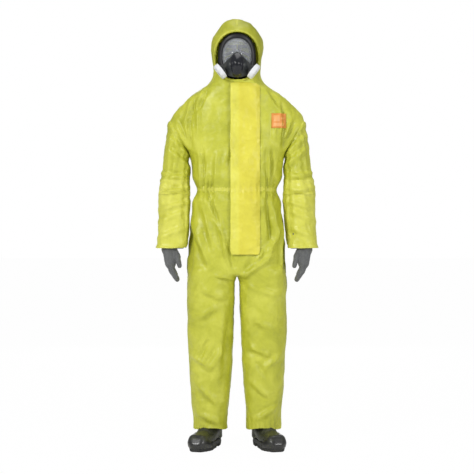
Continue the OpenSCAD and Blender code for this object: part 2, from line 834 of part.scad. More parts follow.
// Moulded rubber cap over the toes
cap_len = 58;
cap_h = 22;
module boot_toe_cap() {
  difference() {
    intersection() {
      boot_front(upper_z, 3.4);
      translate([-80, heel_y - boot_len - 20, upper_z])
        cube([160, cap_len + 20, cap_h]);
    }
    translate([0, 0, -0.01]) boot_front(upper_z, 0.6);
  }
}
module boot_upper_left() { color(rubber) at_foot() boot_upper(); }
module boot_upper_right() { color(rubber) flip() at_foot() boot_upper(); }
module boot_sole_left() { color("#23251f") at_foot() boot_sole(); }
module boot_sole_right() { color("#23251f") flip() at_foot() boot_sole(); }
module boot_toe_cap_left() { color("#33352c") at_foot() boot_toe_cap(); }
module boot_toe_cap_right() { color("#33352c") flip() at_foot() boot_toe_cap(); }

torso_front_right();
torso_front_left();
torso_back();
crotch_gusset();
waist_elastic();
chest_label();
zip_guard();
zip_tape_right();
zip_tape_left();
zip_chain();
zip_stops();
zip_slider();
zip_pull();
storm_flap();
flap_tape();
hood_collar();
hood_right();
hood_left();
hood_crown_tape();
face_elastic();
sleeve_upper_right();
sleeve_upper_left();
sleeve_lower_right();
sleeve_lower_left();
sleeve_seam_tape_right();
sleeve_seam_tape_left();
inner_cuff_right();
inner_cuff_left();
leg_upper_right();
leg_upper_left();
leg_lower_right();
leg_lower_left();
ankle_elastic_right();
ankle_elastic_left();
mask_lens();
lens_frame();
face_seal();
nose_cup();
front_housing();
exhalation_cover();
exhalation_flap();
inhalation_flap_right();
inhalation_flap_left();
filter_ports();
filter_gaskets();
filter_shell_right();
filter_shell_left();
filter_media_right();
filter_media_left();
harness_buckles();
head_harness();
glove_right();
glove_left();
boot_upper_right();
boot_upper_left();
boot_sole_right();
boot_sole_left();
boot_toe_cap_right();
boot_toe_cap_left();
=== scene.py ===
"""Looks of the chemical protective ensemble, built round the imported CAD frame."""
import json
import math
from contextlib import contextmanager

import bmesh
import bpy
import numpy as np
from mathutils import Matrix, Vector, noise
from mathutils.bvhtree import BVHTree
from mathutils.kdtree import KDTree


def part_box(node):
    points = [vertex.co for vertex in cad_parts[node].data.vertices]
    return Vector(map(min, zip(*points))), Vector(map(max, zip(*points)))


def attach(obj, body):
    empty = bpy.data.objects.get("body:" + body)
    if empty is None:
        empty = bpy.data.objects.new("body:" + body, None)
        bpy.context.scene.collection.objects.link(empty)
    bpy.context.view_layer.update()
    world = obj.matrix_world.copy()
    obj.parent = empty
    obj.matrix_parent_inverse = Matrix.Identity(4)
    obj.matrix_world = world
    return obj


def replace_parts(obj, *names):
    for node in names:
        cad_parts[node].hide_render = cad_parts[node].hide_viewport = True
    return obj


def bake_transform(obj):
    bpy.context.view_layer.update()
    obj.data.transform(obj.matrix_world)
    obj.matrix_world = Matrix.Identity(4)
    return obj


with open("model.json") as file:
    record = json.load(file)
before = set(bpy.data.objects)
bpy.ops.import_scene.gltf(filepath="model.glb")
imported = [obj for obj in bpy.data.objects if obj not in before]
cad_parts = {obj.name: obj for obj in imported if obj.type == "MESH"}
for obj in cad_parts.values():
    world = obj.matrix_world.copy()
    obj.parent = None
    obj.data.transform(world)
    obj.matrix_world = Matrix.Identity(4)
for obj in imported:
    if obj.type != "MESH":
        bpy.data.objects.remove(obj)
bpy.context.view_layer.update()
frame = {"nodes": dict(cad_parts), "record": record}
SIDES = {"right": -1, "left": 1}


def lo_hi(*nodes):
    """Lowest and highest corners of some CAD nodes together."""
    boxes = [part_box(n) for n in nodes]
    return (Vector([min(b[0][i] for b in boxes) for i in range(3)]),
            Vector([max(b[1][i] for b in boxes) for i in range(3)]))


def joint(name):
    return next(j for j in frame["record"]["behaviour"]["joints"] if j["name"] == name)


# ------------------------------------------------- places taken from the frame
TRUNK_LO, TRUNK_HI = lo_hi("torso_front_right", "torso_front_left", "torso_back")
HOOD_LO, HOOD_HI = lo_hi("hood_right", "hood_left")
MID_Y = (TRUNK_LO.y + TRUNK_HI.y) / 2
CROTCH_Z = TRUNK_LO.z
LEG_LO, LEG_HI = lo_hi("leg_lower_left", "leg_upper_left")
LEG_X = (LEG_LO.x + LEG_HI.x) / 2
WAIST_Z = sum(lo_hi("waist_elastic")[i].z for i in (0, 1)) / 2
SLEEVE_HI = lo_hi("sleeve_upper_left")[1]
CUFF_LO, CUFF_HI = lo_hi("sleeve_lower_left")
ELBOW_Z = joint("elbow_left")["pos_m"][2]
KNEE_Z = joint("knee_left")["pos_m"][2]
FLAP_LO, FLAP_HI = lo_hi("storm_flap")
FACE_HI = lo_hi("face_elastic")[1]
CHIN_Z = FLAP_HI.z + 0.016
BROW_Z = FACE_HI.z - 0.006
OPENING_Z = (CHIN_Z + BROW_Z) / 2
OPENING_HALF = (BROW_Z - CHIN_Z) / 2
OPENING_POWER = 2.2
ARM_TIP = Vector((0.295, 0, 1.414))
ARMPIT = Vector((0.208, 0, 1.275))


# --------------------------------------------------------------------- meshes
def new_object(name, verts, faces):
    me = bpy.data.meshes.new(name)
    me.from_pydata([tuple(v) for v in verts], [], faces)
    me.validate()
    me.polygons.foreach_set("use_smooth", [True] * len(me.polygons))
    ob = bpy.data.objects.new(name, me)
    bpy.context.scene.collection.objects.link(ob)
    return ob


def points(ob):
    co = np.empty(len(ob.data.vertices) * 3)
    ob.data.vertices.foreach_get("co", co)
    return co.reshape(-1, 3)


def set_points(ob, co):
    ob.data.vertices.foreach_set("co", np.asarray(co, float).ravel())
    ob.data.update()


def normals(ob):
    n = np.empty(len(ob.data.vertices) * 3)
    ob.data.vertex_normals.foreach_get("vector", n)
    return n.reshape(-1, 3)


def bake(ob):
    """Applies every modifier of an object to its mesh."""
    deps = bpy.context.evaluated_depsgraph_get()
    deps.update()
    me = bpy.data.meshes.new_from_object(ob.evaluated_get(deps))
    old = ob.data
    ob.modifiers.clear()
    ob.data = me
    bpy.data.meshes.remove(old)
    me.polygons.foreach_set("use_smooth", [True] * len(me.polygons))
    return ob


def modify(ob, kind, **settings):
    mod = ob.modifiers.new(kind.title(), kind)
    for key, value in settings.items():
        setattr(mod, key, value)
    return bake(ob)


def remesh(ob, voxel):
    return modify(ob, "REMESH", mode="VOXEL", voxel_size=voxel, use_smooth_shade=True)


def push_out(ob, amount):
    """Moves every vertex along its normal."""
    set_points(ob, points(ob) + normals(ob) * np.asarray(amount)[:, None])


def noise_at(co, scale, shift=(0, 0, 0)):
    """Smooth noise at each point, with one scale or one for each axis."""
    return np.array([noise.noise(Vector(p)) for p in np.asarray(co) * scale + shift])


def gathered(obs):
    """Vertices and faces of several meshes in two lists."""
    verts, faces = [], []
    for ob in obs:
        base = len(verts)
        verts += [v.co.copy() for v in ob.data.vertices]
        faces += [[base + i for i in p.vertices] for p in ob.data.polygons]
    return verts, faces


def join(name, *obs):
    verts, faces = gathered(obs)
    for ob in obs:
        bpy.data.objects.remove(ob)
    return new_object(name, verts, faces)


@contextmanager
def editing(ob):
    """Opens a mesh for editing and writes it back."""
    bm = bmesh.new()
    bm.from_mesh(ob.data)
    yield bm
    bm.to_mesh(ob.data)
    bm.free()


def face_out(ob):
    """Turns every face of a closed mesh outwards."""
    with editing(ob) as bm:
        bmesh.ops.recalc_face_normals(bm, faces=bm.faces)
    return ob


def stack(rings, caps=True):
    """Verts and faces of a tube through rings of equal length, capped if asked."""
    count, around = len(rings), len(rings[0])
    verts = [tuple(p) for ring in rings for p in ring]
    faces = []
    for j in range(count - 1):
        for i in range(around):
            k = (i + 1) % around
            faces.append((j * around + i, j * around + k,
                          (j + 1) * around + k, (j + 1) * around + i))
    if caps:
        faces.append(tuple(reversed(range(around))))
        faces.append(tuple((count - 1) * around + i for i in range(around)))
    return verts, faces


def sheet(name, rows, cols, point):
    """Grid whose vertices are point(u, v), with u and v from 0 to 1."""
    verts = [point(i / cols, j / rows) for j in range(rows + 1) for i in range(cols + 1)]
    wide = cols + 1
    faces = [(j * wide + i, j * wide + i + 1, (j + 1) * wide + i + 1, (j + 1) * wide + i)
             for j in range(rows) for i in range(cols)]
    return new_object(name, verts, faces)


def thicken(ob, thick, outward=0.0):
    return modify(ob, "SOLIDIFY", thickness=thick, offset=outward, use_rim=True,
                  use_even_offset=False)


def smooth_step(x):
    x = np.clip(x, 0, 1)
    return x * x * (3 - 2 * x)


# ------------------------------------------------------- shapes out of the CAD
def tree_of(*obs):
    return BVHTree.FromPolygons(*gathered(obs))


def skin_tree(*nodes):
    return tree_of(*(frame["nodes"][n] for n in nodes))


REACH = 0.6


def skin_radius(trees, centre, angle):
    """Distance from a centre to the outer CAD skin, or nan where it is open."""
    way = Vector((math.cos(angle), math.sin(angle), 0))
    for tree in trees:
        hit = tree.ray_cast(centre + way * REACH, -way)
        if hit[0] is not None and hit[3] < REACH:
            return REACH - hit[3]
    return math.nan


def bridge(row):
    """Fills the gaps of a periodic row from both sides."""
    row = np.array(row)
    good = np.where(~np.isnan(row))[0]
    if len(good) == len(row):
        return row
    period = len(row)
    at = np.concatenate([good - period, good, good + period])
    return np.interp(np.arange(period), at, np.tile(row[good], 3))


def tube(name, trees_at, centre_at, heights, around=72, soften=2, clear=0.0):
    """Closed volume that follows the outer skin of CAD nodes, slice by slice.
    It stays a clear distance from the middle plane if one is given."""
    angles = np.arange(around) * 2 * math.pi / around
    table, last = [], None
    for z in heights:
        row = [skin_radius(trees_at(z), centre_at(z), a) for a in angles]
        if np.isnan(row).mean() > 0.7 and last is not None:
            row = last
        else:
            row = bridge(row)
        last = row
        table.append(row)
    table = np.array(table)
    for _ in range(soften):
        table = (np.roll(table, 1, 1) + 2 * table + np.roll(table, -1, 1)) / 4
        table[1:-1] = (table[:-2] + 2 * table[1:-1] + table[2:]) / 4
    rings = []
    for z, row in zip(heights, table):
        c = centre_at(z)
        side = math.copysign(1, c.x)
        ring = [(c.x + r * math.cos(a), c.y + r * math.sin(a), z)
                for r, a in zip(row, angles)]
        if clear:
            ring = [(side * max(side * x, clear), y, h) for x, y, h in ring]
        rings.append(ring)
    return new_object(name, *stack(rings))


def trunk_volume():
    trees = [skin_tree("torso_front_right", "torso_front_left", "torso_back",
                       "hood_collar"),
             skin_tree("sleeve_upper_right", "sleeve_upper_left")]
    heights = np.linspace(CROTCH_Z + 0.002, HOOD_LO.z - 0.004, 84)
    return tube("trunk", lambda z: trees if z > ARMPIT.z - 0.005 else trees[:1],
                lambda z: Vector((0, MID_Y, z)), heights, 144)


def hood_volume():
    trees = [skin_tree("hood_right", "hood_left", "hood_collar")]
    heights = np.linspace(HOOD_LO.z - 0.016, HOOD_HI.z - 0.002, 40)
    return tube("hood", lambda z: trees, lambda z: Vector((0, MID_Y, z)), heights, 72, 1)


LEG_SLOT = 0.009


def leg_volume(side):
    name = "right" if side < 0 else "left"
    trees = [skin_tree(f"leg_upper_{name}", f"leg_lower_{name}")]
    y = (LEG_LO.y + LEG_HI.y) / 2
    top = CROTCH_Z - 0.006
    heights = np.linspace(LEG_LO.z + 0.044, top, 60)
    heights = np.concatenate([[LEG_LO.z - 0.02], heights, [top + 0.04]])

    def centre(z):
        return Vector((side * LEG_X, y, min(max(z, heights[1]), top)))

    return tube(f"leg_{name}", lambda z: trees, centre, heights, 72, clear=LEG_SLOT)


def sleeve_centre(side):
    stations = [CUFF_LO.z, ELBOW_Z, 1.345]
    xs = [(CUFF_LO.x + CUFF_HI.x) / 2, 0.270, 0.283]
    ys = [MID_Y - 0.034, MID_Y - 0.010, MID_Y]
    return lambda z: Vector((side * float(np.interp(z, stations, xs)),
                             float(np.interp(z, stations, ys)), z))


def sleeve_volume(side):
    name = "right" if side < 0 else "left"
    trees = [skin_tree(f"sleeve_upper_{name}", f"sleeve_lower_{name}")]
    heights = np.linspace(CUFF_LO.z + 0.001, SLEEVE_HI.z - 0.004, 70)
    return tube(f"sleeve_{name}", lambda z: trees, sleeve_centre(side), heights, 72)


def geometry_of(faces):
    """Faces with their vertices and edges, in the same order at every run."""
    verts = dict.fromkeys(v for f in faces for v in f.verts)
    edges = dict.fromkeys(e for f in faces for e in f.edges)
    return list(verts) + list(edges) + faces


def cut(ob, point, normal, region=lambda c: True):
    """Removes what lies on the normal's side of a plane, within a region."""
    with editing(ob) as bm:
        faces = [f for f in bm.faces if region(f.calc_center_median())]
        bmesh.ops.bisect_plane(bm, geom=geometry_of(faces), plane_co=point, plane_no=normal)
        n = Vector(normal).normalized()
        gone = [f for f in bm.faces
                if region(f.calc_center_median())
                and (f.calc_center_median() - Vector(point)).dot(n) > 0]
        bmesh.ops.delete(bm, geom=gone, context="FACES")
        loose = [v for v in bm.verts if not v.link_faces]
        bmesh.ops.delete(bm, geom=loose, context="VERTS")


def arm_plane(side):
    along = ARM_TIP - ARMPIT
    normal = Vector((side * along.z, 0, -along.x)).normalized()
    point = Vector((side * ARM_TIP.x, MID_Y, ARM_TIP.z))
    return point, normal


def opening_half(z):
    """Half width of the face opening at a height."""
    f = abs(z - OPENING_Z) / OPENING_HALF
    return FACE_HI.x * (1 - f ** OPENING_POWER) ** (1 / OPENING_POWER) if f < 1 else 0.0


def opening_point(phi):
    c, s = math.cos(phi), math.sin(phi)
    return (FACE_HI.x * math.copysign(abs(c) ** (2 / OPENING_POWER), c),
            OPENING_Z + OPENING_HALF * math.copysign(abs(s) ** (2 / OPENING_POWER), s))


# ---------------------------------------------------------- folds and draping
def near(values, centre, width):
    return np.exp(-((values - centre) / width) ** 2)


def gathers(ob, height, reach, depth, pitch, seed):
    """Fine upright pleats that fade above and below an elastic line."""
    co = points(ob)
    angle = np.arctan2(co[:, 1] - MID_Y, co[:, 0])
    around = angle * 0.16
    fade = near(co[:, 2], height, reach)
    wander = np.array([noise.noise(Vector((a * 9, z * 6, seed)))
                       for a, z in zip(around, co[:, 2])])
    wave = np.sin(2 * math.pi * around / pitch + 5 * wander)
    size = 0.55 + 0.9 * np.abs(np.array([noise.noise(Vector((a * 14, seed, 3)))
                                         for a in around]))
    push_out(ob, depth * fade * wave * size)


def crumple(ob, depth, scale, seed, sharp=1.0):
    """Creases of stiff film: ridged noise along the normals."""
    value = noise_at(points(ob), scale, (seed * 3.1, seed * 1.7, seed * 2.3))
    ridge = 1 - 2 * np.abs(value) ** sharp
    push_out(ob, (ridge - ridge.mean()) * depth)


def facets(ob, depth, scale, seed, edge):
    """Crushed film: nearly flat facets that meet in sharp creases."""
    shift = Vector((seed * 2.7, seed * 1.3, seed * 3.9))
    value = []
    for p in points(ob):
        at = Vector(p) * scale + shift
        at += 0.45 * noise.noise_vector(at * 0.8)
        value.append(noise.voronoi(at)[0][0])
    value = np.array(value)
    value -= value.mean()
    push_out(ob, value * depth * (1 - 0.8 * edge))


def fold(co, start, end, width, height, facing, one_sided=0.6):
    """Offsets of one long fold between two points of the XZ plane.
    facing is -1 on the front and 1 on the back."""
    a, b = np.array(start), np.array(end)
    p = co[:, [0, 2]]
    run = b - a
    length = np.linalg.norm(run)
    t = ((p - a) @ run) / length ** 2
    across = ((p - a) @ np.array([-run[1], run[0]])) / length
    along = np.clip(t, 0, 1)
    ends = np.hypot(across, (t - along) * length)
    fade = np.sin(math.pi * np.clip(t, 0.02, 0.98)) ** 0.6
    ridge = np.exp(-(ends / width) ** 2)
    valley = np.exp(-((across + 1.4 * width) / width) ** 2) \
        * np.exp(-((t - along) * length / width) ** 2)
    side = (co[:, 1] - MID_Y) * facing > 0
    return height * fade * (ridge - one_sided * valley) * side


def weigh(ob, name, weights):
    """Adds a vertex group with a weight for each vertex."""
    group = ob.vertex_groups.new(name=name)
    for i, w in enumerate(weights):
        group.add([i], float(w), "REPLACE")


def drape(ob, hold, frames, grow, cap, stiff=12.0, bend=1.5):
    """Lets a fabric with slack sag and buckle; hold pins it from 0 to 1."""
    base = points(ob)
    weigh(ob, "hold", hold)
    mod = ob.modifiers.new("Cloth", "CLOTH")
    s = mod.settings
    s.quality = 5
    s.mass = 0.3
    s.tension_stiffness = s.compression_stiffness = stiff
    s.shear_stiffness = stiff / 2
    s.bending_stiffness = bend
    s.tension_damping = s.compression_damping = 8
    s.shrink_min = s.shrink_max = -grow
    s.vertex_group_mass = "hold"
    s.pin_stiffness = 1.0
    s.air_damping = 3
    mod.collision_settings.use_collision = False
    mod.collision_settings.use_self_collision = False
    mod.point_cache.frame_start = 1
    mod.point_cache.frame_end = frames
    scene = bpy.context.scene
    for f in range(1, frames + 1):
        scene.frame_set(f)
    bake(ob)
    ob.vertex_groups.clear()
    move = points(ob) - base
    size = np.linalg.norm(move, axis=1, keepdims=True)
    limit = np.asarray(cap)[:, None]
    set_points(ob, base + move * limit / (limit + size))
    scene.frame_set(1)


def soften_band(ob, height, reach, rounds):
    """Smooths a mesh round one height."""
    weigh(ob, "band", near(points(ob)[:, 2], height, reach))
    modify(ob, "SMOOTH", factor=0.5, iterations=rounds, vertex_group="band")
    ob.vertex_groups.clear()


def edge_vertices(ob):
    """Indices of the vertices on open edges."""
    count = {}
    for p in ob.data.polygons:
        for key in p.edge_keys:
            count[key] = count.get(key, 0) + 1
    return sorted({i for key, c in count.items() if c == 1 for i in key})


def open_face(ob):
    """Opens the hood for the face and rounds the edge onto its outline."""
    with editing(ob) as bm:
        gone = []
        for f in bm.faces:
            c = f.calc_center_median()
            if c.y < MID_Y - 0.01 and abs(c.x) < opening_half(c.z):
                gone.append(f)
        bmesh.ops.delete(bm, geom=gone, context="FACES")
        for v in bm.verts:
            up = v.co.z - OPENING_Z
            if v.is_boundary and v.co.y < MID_Y and abs(up) < OPENING_HALF + 0.02:
                x, z = abs(v.co.x / FACE_HI.x), abs(up / OPENING_HALF)
                k = (x ** OPENING_POWER + z ** OPENING_POWER) ** (-1 / OPENING_POWER)
                v.co.x *= k
                v.co.z = OPENING_Z + up * k


def slit(ob, x, half, low, high):
    """Opens a straight slot in the front for the zip."""
    with editing(ob) as bm:

        def inside(c, wide):
            return abs(c.x - x) < wide and c.y < MID_Y and low < c.z < high

        for side in (-1, 1):
            faces = [f for f in bm.faces if inside(f.calc_center_median(), half + 0.02)]
            bmesh.ops.bisect_plane(bm, geom=geometry_of(faces),
                                   plane_co=(x + side * half, 0, 0), plane_no=(1, 0, 0))
        gone = [f for f in bm.faces if inside(f.calc_center_median(), half)]
        bmesh.ops.delete(bm, geom=gone, context="FACES")


# --------------------------------------------------------- the coverall's shell
VOXEL = 0.0065
ZIP_X = (FLAP_LO.x + FLAP_HI.x) / 2
ZIP_LO, ZIP_HI = lo_hi("zip_tape_right", "zip_tape_left")
ZIP_HALF = 0.0055
HEM_RISE = 0.25

body = join("body", trunk_volume(), hood_volume(), leg_volume(-1), leg_volume(1))
remesh(body, VOXEL)
soften_band(body, CROTCH_Z - 0.008, 0.045, 40)
for side in SIDES.values():
    at, out = arm_plane(side)
    cut(body, at, out, lambda c: c.z > ARMPIT.z - 0.02 and c.x * side > 0.15)
cut(body, (0, MID_Y, LEG_LO.z + 0.019), (0, -HEM_RISE, -1))
open_face(body)
slit(body, ZIP_X, ZIP_HALF, ZIP_LO.z, ZIP_HI.z)

sleeves = {}
for name, side in SIDES.items():
    ob = sleeve_volume(side)
    remesh(ob, VOXEL)
    at, out = arm_plane(side)
    cut(ob, at, -out)
    cut(ob, (0, 0, CUFF_LO.z + 0.004), (0, 0, -1))
    sleeves[name] = ob


def match_armholes():
    """Moves the trunk's armhole edges onto the sleeves' edges."""
    co = points(body)
    for name, side in SIDES.items():
        at, out = arm_plane(side)
        sleeve_co = points(sleeves[name])
        rim = [i for i in edge_vertices(sleeves[name]) if sleeve_co[i][2] > ARMPIT.z - 0.01]
        rim_co = sleeve_co[rim]
        edge = [i for i in edge_vertices(body)
                if co[i][2] > ARMPIT.z - 0.03 and co[i][0] * side > 0.18]
        for i in edge:
            gap = np.linalg.norm(rim_co - co[i], axis=1)
            co[i] = rim_co[gap.argmin()]
    set_points(body, co)


match_armholes()
def edge_hold(ob, reach, lowest):
    """1 on open edges above a height, fading to 0 within a distance."""
    co = points(ob)
    edge = [i for i in edge_vertices(ob) if co[i][2] > lowest]
    kd = KDTree(len(edge))
    for i in edge:
        kd.insert(co[i], i)
    kd.balance()
    away = np.array([kd.find(p)[2] for p in co])
    return np.clip(1 - away / reach, 0, 1)


def body_hold(co, edge):
    x, y, z = co.T
    front = y < MID_Y
    zip_strip = near(x, ZIP_X, 0.028) * front * (z > ZIP_LO.z - 0.03)
    waist = 0.9 * near(z, WAIST_Z, 0.022)
    yoke = smooth_step((z - 1.40) / 0.12) * 0.35
    crown = smooth_step((z - 1.60) / 0.08) * 0.35
    ankle = smooth_step((LEG_LO.z + 0.06 - z) / 0.05) * 0.45
    return np.clip(np.max([zip_strip, waist, yoke + crown, ankle, edge], axis=0), 0, 1)


def sleeve_hold(co, edge):
    cuff = smooth_step((CUFF_LO.z + 0.05 - co[:, 2]) / 0.05) * 0.35
    return np.clip(np.maximum(cuff, edge), 0, 1)


FRONT, BACK = -1, 1
# Long folds: start and end across and up, half width and height in metres
FRONT_FOLDS = [
    ((-0.128, 1.545), (-0.172, 1.440), 0.008, -0.008),
    ((-0.180, 1.500), (-0.208, 1.390), 0.009, -0.010),
    ((-0.208, 1.420), (-0.196, 1.290), 0.009, -0.010),
    ((-0.165, 1.470), (-0.170, 1.340), 0.010, 0.006),
    ((-0.252, 1.410), (-0.205, 1.300), 0.009, -0.008),
    ((0.138, 1.535), (0.185, 1.455), 0.008, -0.008),
    ((0.190, 1.490), (0.208, 1.380), 0.009, -0.009),
    ((0.206, 1.410), (0.196, 1.290), 0.009, -0.010),
    ((0.170, 1.430), (0.160, 1.320), 0.010, 0.006),
    ((0.250, 1.410), (0.205, 1.300), 0.009, -0.008),
    ((-0.150, 1.300), (-0.140, 1.070), 0.008, -0.010),
    ((-0.128, 1.190), (-0.124, 1.050), 0.007, -0.009),
    ((-0.110, 1.170), (-0.106, 1.060), 0.007, -0.008),
    ((-0.085, 1.280), (-0.095, 1.130), 0.014, 0.006),
    ((-0.060, 1.200), (-0.030, 1.300), 0.013, 0.005),
    ((0.150, 1.290), (0.146, 1.070), 0.008, -0.010),
    ((0.128, 1.200), (0.130, 1.050), 0.007, -0.009),
    ((0.164, 1.170), (0.160, 1.060), 0.007, -0.008),
    ((0.110, 1.330), (0.100, 1.170), 0.014, 0.006),
    ((-0.125, 1.090), (-0.062, 0.930), 0.009, -0.011),
    ((-0.105, 1.080), (-0.030, 0.800), 0.013, 0.010),
    ((-0.150, 1.060), (-0.100, 0.860), 0.014, 0.008),
    ((-0.190, 0.960), (-0.110, 0.770), 0.015, 0.008),
    ((-0.050, 0.900), (-0.012, 0.770), 0.010, -0.008),
    ((0.125, 1.070), (0.150, 0.880), 0.011, -0.008),
    ((0.150, 1.050), (0.175, 0.880), 0.014, 0.008),
    ((0.185, 0.960), (0.120, 0.800), 0.014, 0.008),
    ((0.120, 0.860), (0.060, 0.780), 0.012, 0.007),
    ((-0.203, 0.960), (-0.200, 0.760), 0.008, -0.012),
    ((0.203, 0.990), (0.204, 0.760), 0.008, -0.014),
    ((-0.098, 0.748), (-0.012, 0.728), 0.010, 0.008),
    ((0.150, 0.830), (0.012, 0.732), 0.012, 0.009),
    ((-0.160, 0.690), (-0.040, 0.640), 0.016, 0.006),
    ((0.170, 0.660), (0.050, 0.700), 0.014, 0.006),
    ((-0.170, 0.560), (-0.080, 0.610), 0.016, 0.006),
    ((0.070, 0.560), (0.165, 0.500), 0.016, 0.006),
    ((-0.195, 0.400), (-0.110, 0.350), 0.014, 0.008),
    ((-0.060, 0.440), (-0.130, 0.330), 0.014, 0.008),
    ((-0.120, 0.470), (-0.165, 0.380), 0.011, -0.008),
    ((0.050, 0.440), (0.140, 0.400), 0.013, 0.008),
    ((0.180, 0.400), (0.110, 0.340), 0.013, 0.007),
    ((0.075, 0.380), (0.130, 0.300), 0.011, -0.007),
    ((-0.030, 0.600), (-0.060, 0.280), 0.018, -0.008),
    ((-0.170, 0.270), (-0.080, 0.190), 0.013, 0.007),
    ((0.060, 0.290), (0.150, 0.210), 0.013, 0.007),
    ((0.170, 0.180), (0.080, 0.130), 0.010, 0.007),
    ((-0.170, 0.150), (-0.070, 0.120), 0.010, 0.007),
]
BACK_FOLDS = [
    ((-0.200, 1.300), (-0.090, 1.420), 0.014, 0.007),
    ((0.200, 1.300), (0.090, 1.420), 0.014, 0.007),
    ((-0.150, 1.220), (-0.040, 1.160), 0.013, 0.006),
    ((0.150, 1.220), (0.050, 1.170), 0.013, 0.006),
    ((-0.150, 0.960), (-0.030, 0.790), 0.016, 0.008),
    ((0.150, 0.960), (0.030, 0.790), 0.016, 0.008),
    ((-0.160, 0.720), (-0.050, 0.690), 0.013, 0.007),
    ((0.160, 0.720), (0.050, 0.690), 0.013, 0.007),
    ((-0.180, 0.500), (-0.060, 0.470), 0.012, 0.008),
    ((0.180, 0.500), (0.060, 0.470), 0.012, 0.008),
    ((-0.170, 0.455), (-0.070, 0.420), 0.012, 0.007),
    ((0.170, 0.455), (0.070, 0.420), 0.012, 0.007),
    ((-0.150, 0.250), (-0.070, 0.160), 0.013, 0.006),
    ((0.150, 0.250), (0.070, 0.160), 0.013, 0.006),
]


FOLD_GAIN = 1.6


def long_folds(ob, edge):
    co = points(ob)
    offset = np.zeros(len(co))
    for facing, folds in ((FRONT, FRONT_FOLDS), (BACK, BACK_FOLDS)):
        for start, end, width, height in folds:
            offset += fold(co, start, end, width, height, facing)
    push_out(ob, FOLD_GAIN * offset * (1 - edge))


def sleeve_folds(ob, side, edge):
    """Creases across the elbow and slanting folds above and below it."""
    co = points(ob)
    offset = np.zeros(len(co))
    for facing in (FRONT, BACK):
        for k in range(5):
            low = ELBOW_Z - 0.05 + 0.030 * k
            slant = 0.035 * (1 if k % 2 else -1)
            offset += fold(co, (side * 0.205, low), (side * 0.335, low + slant),
                           0.009, 0.0055, facing)
        for k in range(3):
            low = 1.20 + 0.055 * k
            offset += fold(co, (side * 0.200, low), (side * 0.300, low + 0.09),
                           0.012, 0.006, facing)
        for k in range(2):
            low = 0.90 + 0.07 * k
            offset += fold(co, (side * 0.225, low + 0.05), (side * 0.345, low),
                           0.012, 0.005, facing)
    push_out(ob, FOLD_GAIN * offset * (1 - edge))


def part_legs(ob, side):
    """Keeps the narrow gap between the legs and rounds the hems inwards."""
    co = points(ob)
    x, z = co[:, 0] * side, co[:, 2]
    gap = np.interp(z, (0.20, 0.46, 0.67, CROTCH_Z), (0.028, 0.0135, 0.0080, 0.0016))
    x = np.where(z < CROTCH_Z - 0.012, np.maximum(x, gap), x)
    low = 1 - smooth_step((z - LEG_LO.z) / 0.030)
    x = LEG_X + (x - LEG_X) * (1 - 0.13 * low ** 2)
    co[:, 0] = x * side
    in_front = smooth_step((MID_Y - co[:, 1]) / 0.06)
    co[:, 2] -= (0.006 + 0.018 * in_front) * (1 - smooth_step((z - LEG_LO.z) / 0.10))
    set_points(ob, co)


def clear_boots(ob):
    """Lays the hems over the boots instead of through them."""
    co = points(ob)
    for name, side in SIDES.items():
        tree = skin_tree(f"boot_upper_{name}")
        for i in np.where((co[:, 0] * side > 0) & (co[:, 2] < LEG_LO.z + 0.06))[0]:
            axis = Vector((side * LEG_X, MID_Y, co[i, 2]))
            way = Vector(co[i]) - axis
            reach = way.length
            way.normalize()
            hit = tree.ray_cast(axis + way * REACH, -way)
            if hit[0] is not None:
                co[i] = axis + way * max(reach, REACH - hit[3] + 0.006)
    set_points(ob, co)


def finish_shell(ob, hold_of, folds, seed, cap):
    edge = edge_hold(ob, 0.022, WAIST_Z + 0.1)
    hold = hold_of(points(ob), edge)
    drape(ob, hold, 26, 0.07, np.full(len(hold), cap))
    folds(ob, edge)
    calm = np.maximum(edge, smooth_step((CUFF_LO.z + 0.03 - points(ob)[:, 2]) / 0.02)
                      * (np.abs(points(ob)[:, 0]) > 0.215))
    facets(ob, -0.0080, 8, seed, calm)
    facets(ob, 0.0034, 17, seed + 5, calm)
    crumple(ob, 0.0012, 24, seed + 3, 0.8)
    crumple(ob, 0.0005, 60, seed + 8, 0.8)


def nip_waist(ob):
    """Draws the waist in and lets the fabric blouse above and below it."""
    z = points(ob)[:, 2]
    n = normals(ob)
    push = 0.007 * near(z, WAIST_Z + 0.055, 0.026) + 0.010 * near(z, WAIST_Z - 0.052, 0.034) \
        - 0.005 * near(z, WAIST_Z, 0.018) \
        + 0.007 * near(z, ARMPIT.z - 0.085, 0.045) * np.abs(n[:, 0]) \
        + 0.013 * near(z, ARM_TIP.z + 0.100, 0.036) * np.abs(n[:, 0])
    push_out(ob, push)


def fill_sleeve(ob, side):
    """Lets the upper sleeve hang against the body."""
    co, n = points(ob), normals(ob)
    push_out(ob, 0.007 * near(co[:, 2], ARMPIT.z - 0.070, 0.040)
             * np.maximum(-n[:, 0] * side, 0))


nip_waist(body)
gathers(body, WAIST_Z, 0.030, 0.0030, 0.019, 2)
gathers(body, LEG_LO.z + 0.03, 0.045, 0.0035, 0.017, 6)
leg_side = np.sign(points(body)[:, 0])
finish_shell(body, body_hold, long_folds, 1, 0.030)
part_legs(body, leg_side)
clear_boots(body)
for name, side in SIDES.items():
    fill_sleeve(sleeves[name], side)
    finish_shell(sleeves[name], sleeve_hold,
                 lambda ob, edge, side=side: sleeve_folds(ob, side, edge), 3 + side, 0.016)
    soften_band(sleeves[name], CUFF_LO.z, 0.020, 12)


# ------------------------------------------------------------ splitting to bodies
THICK = 0.0011


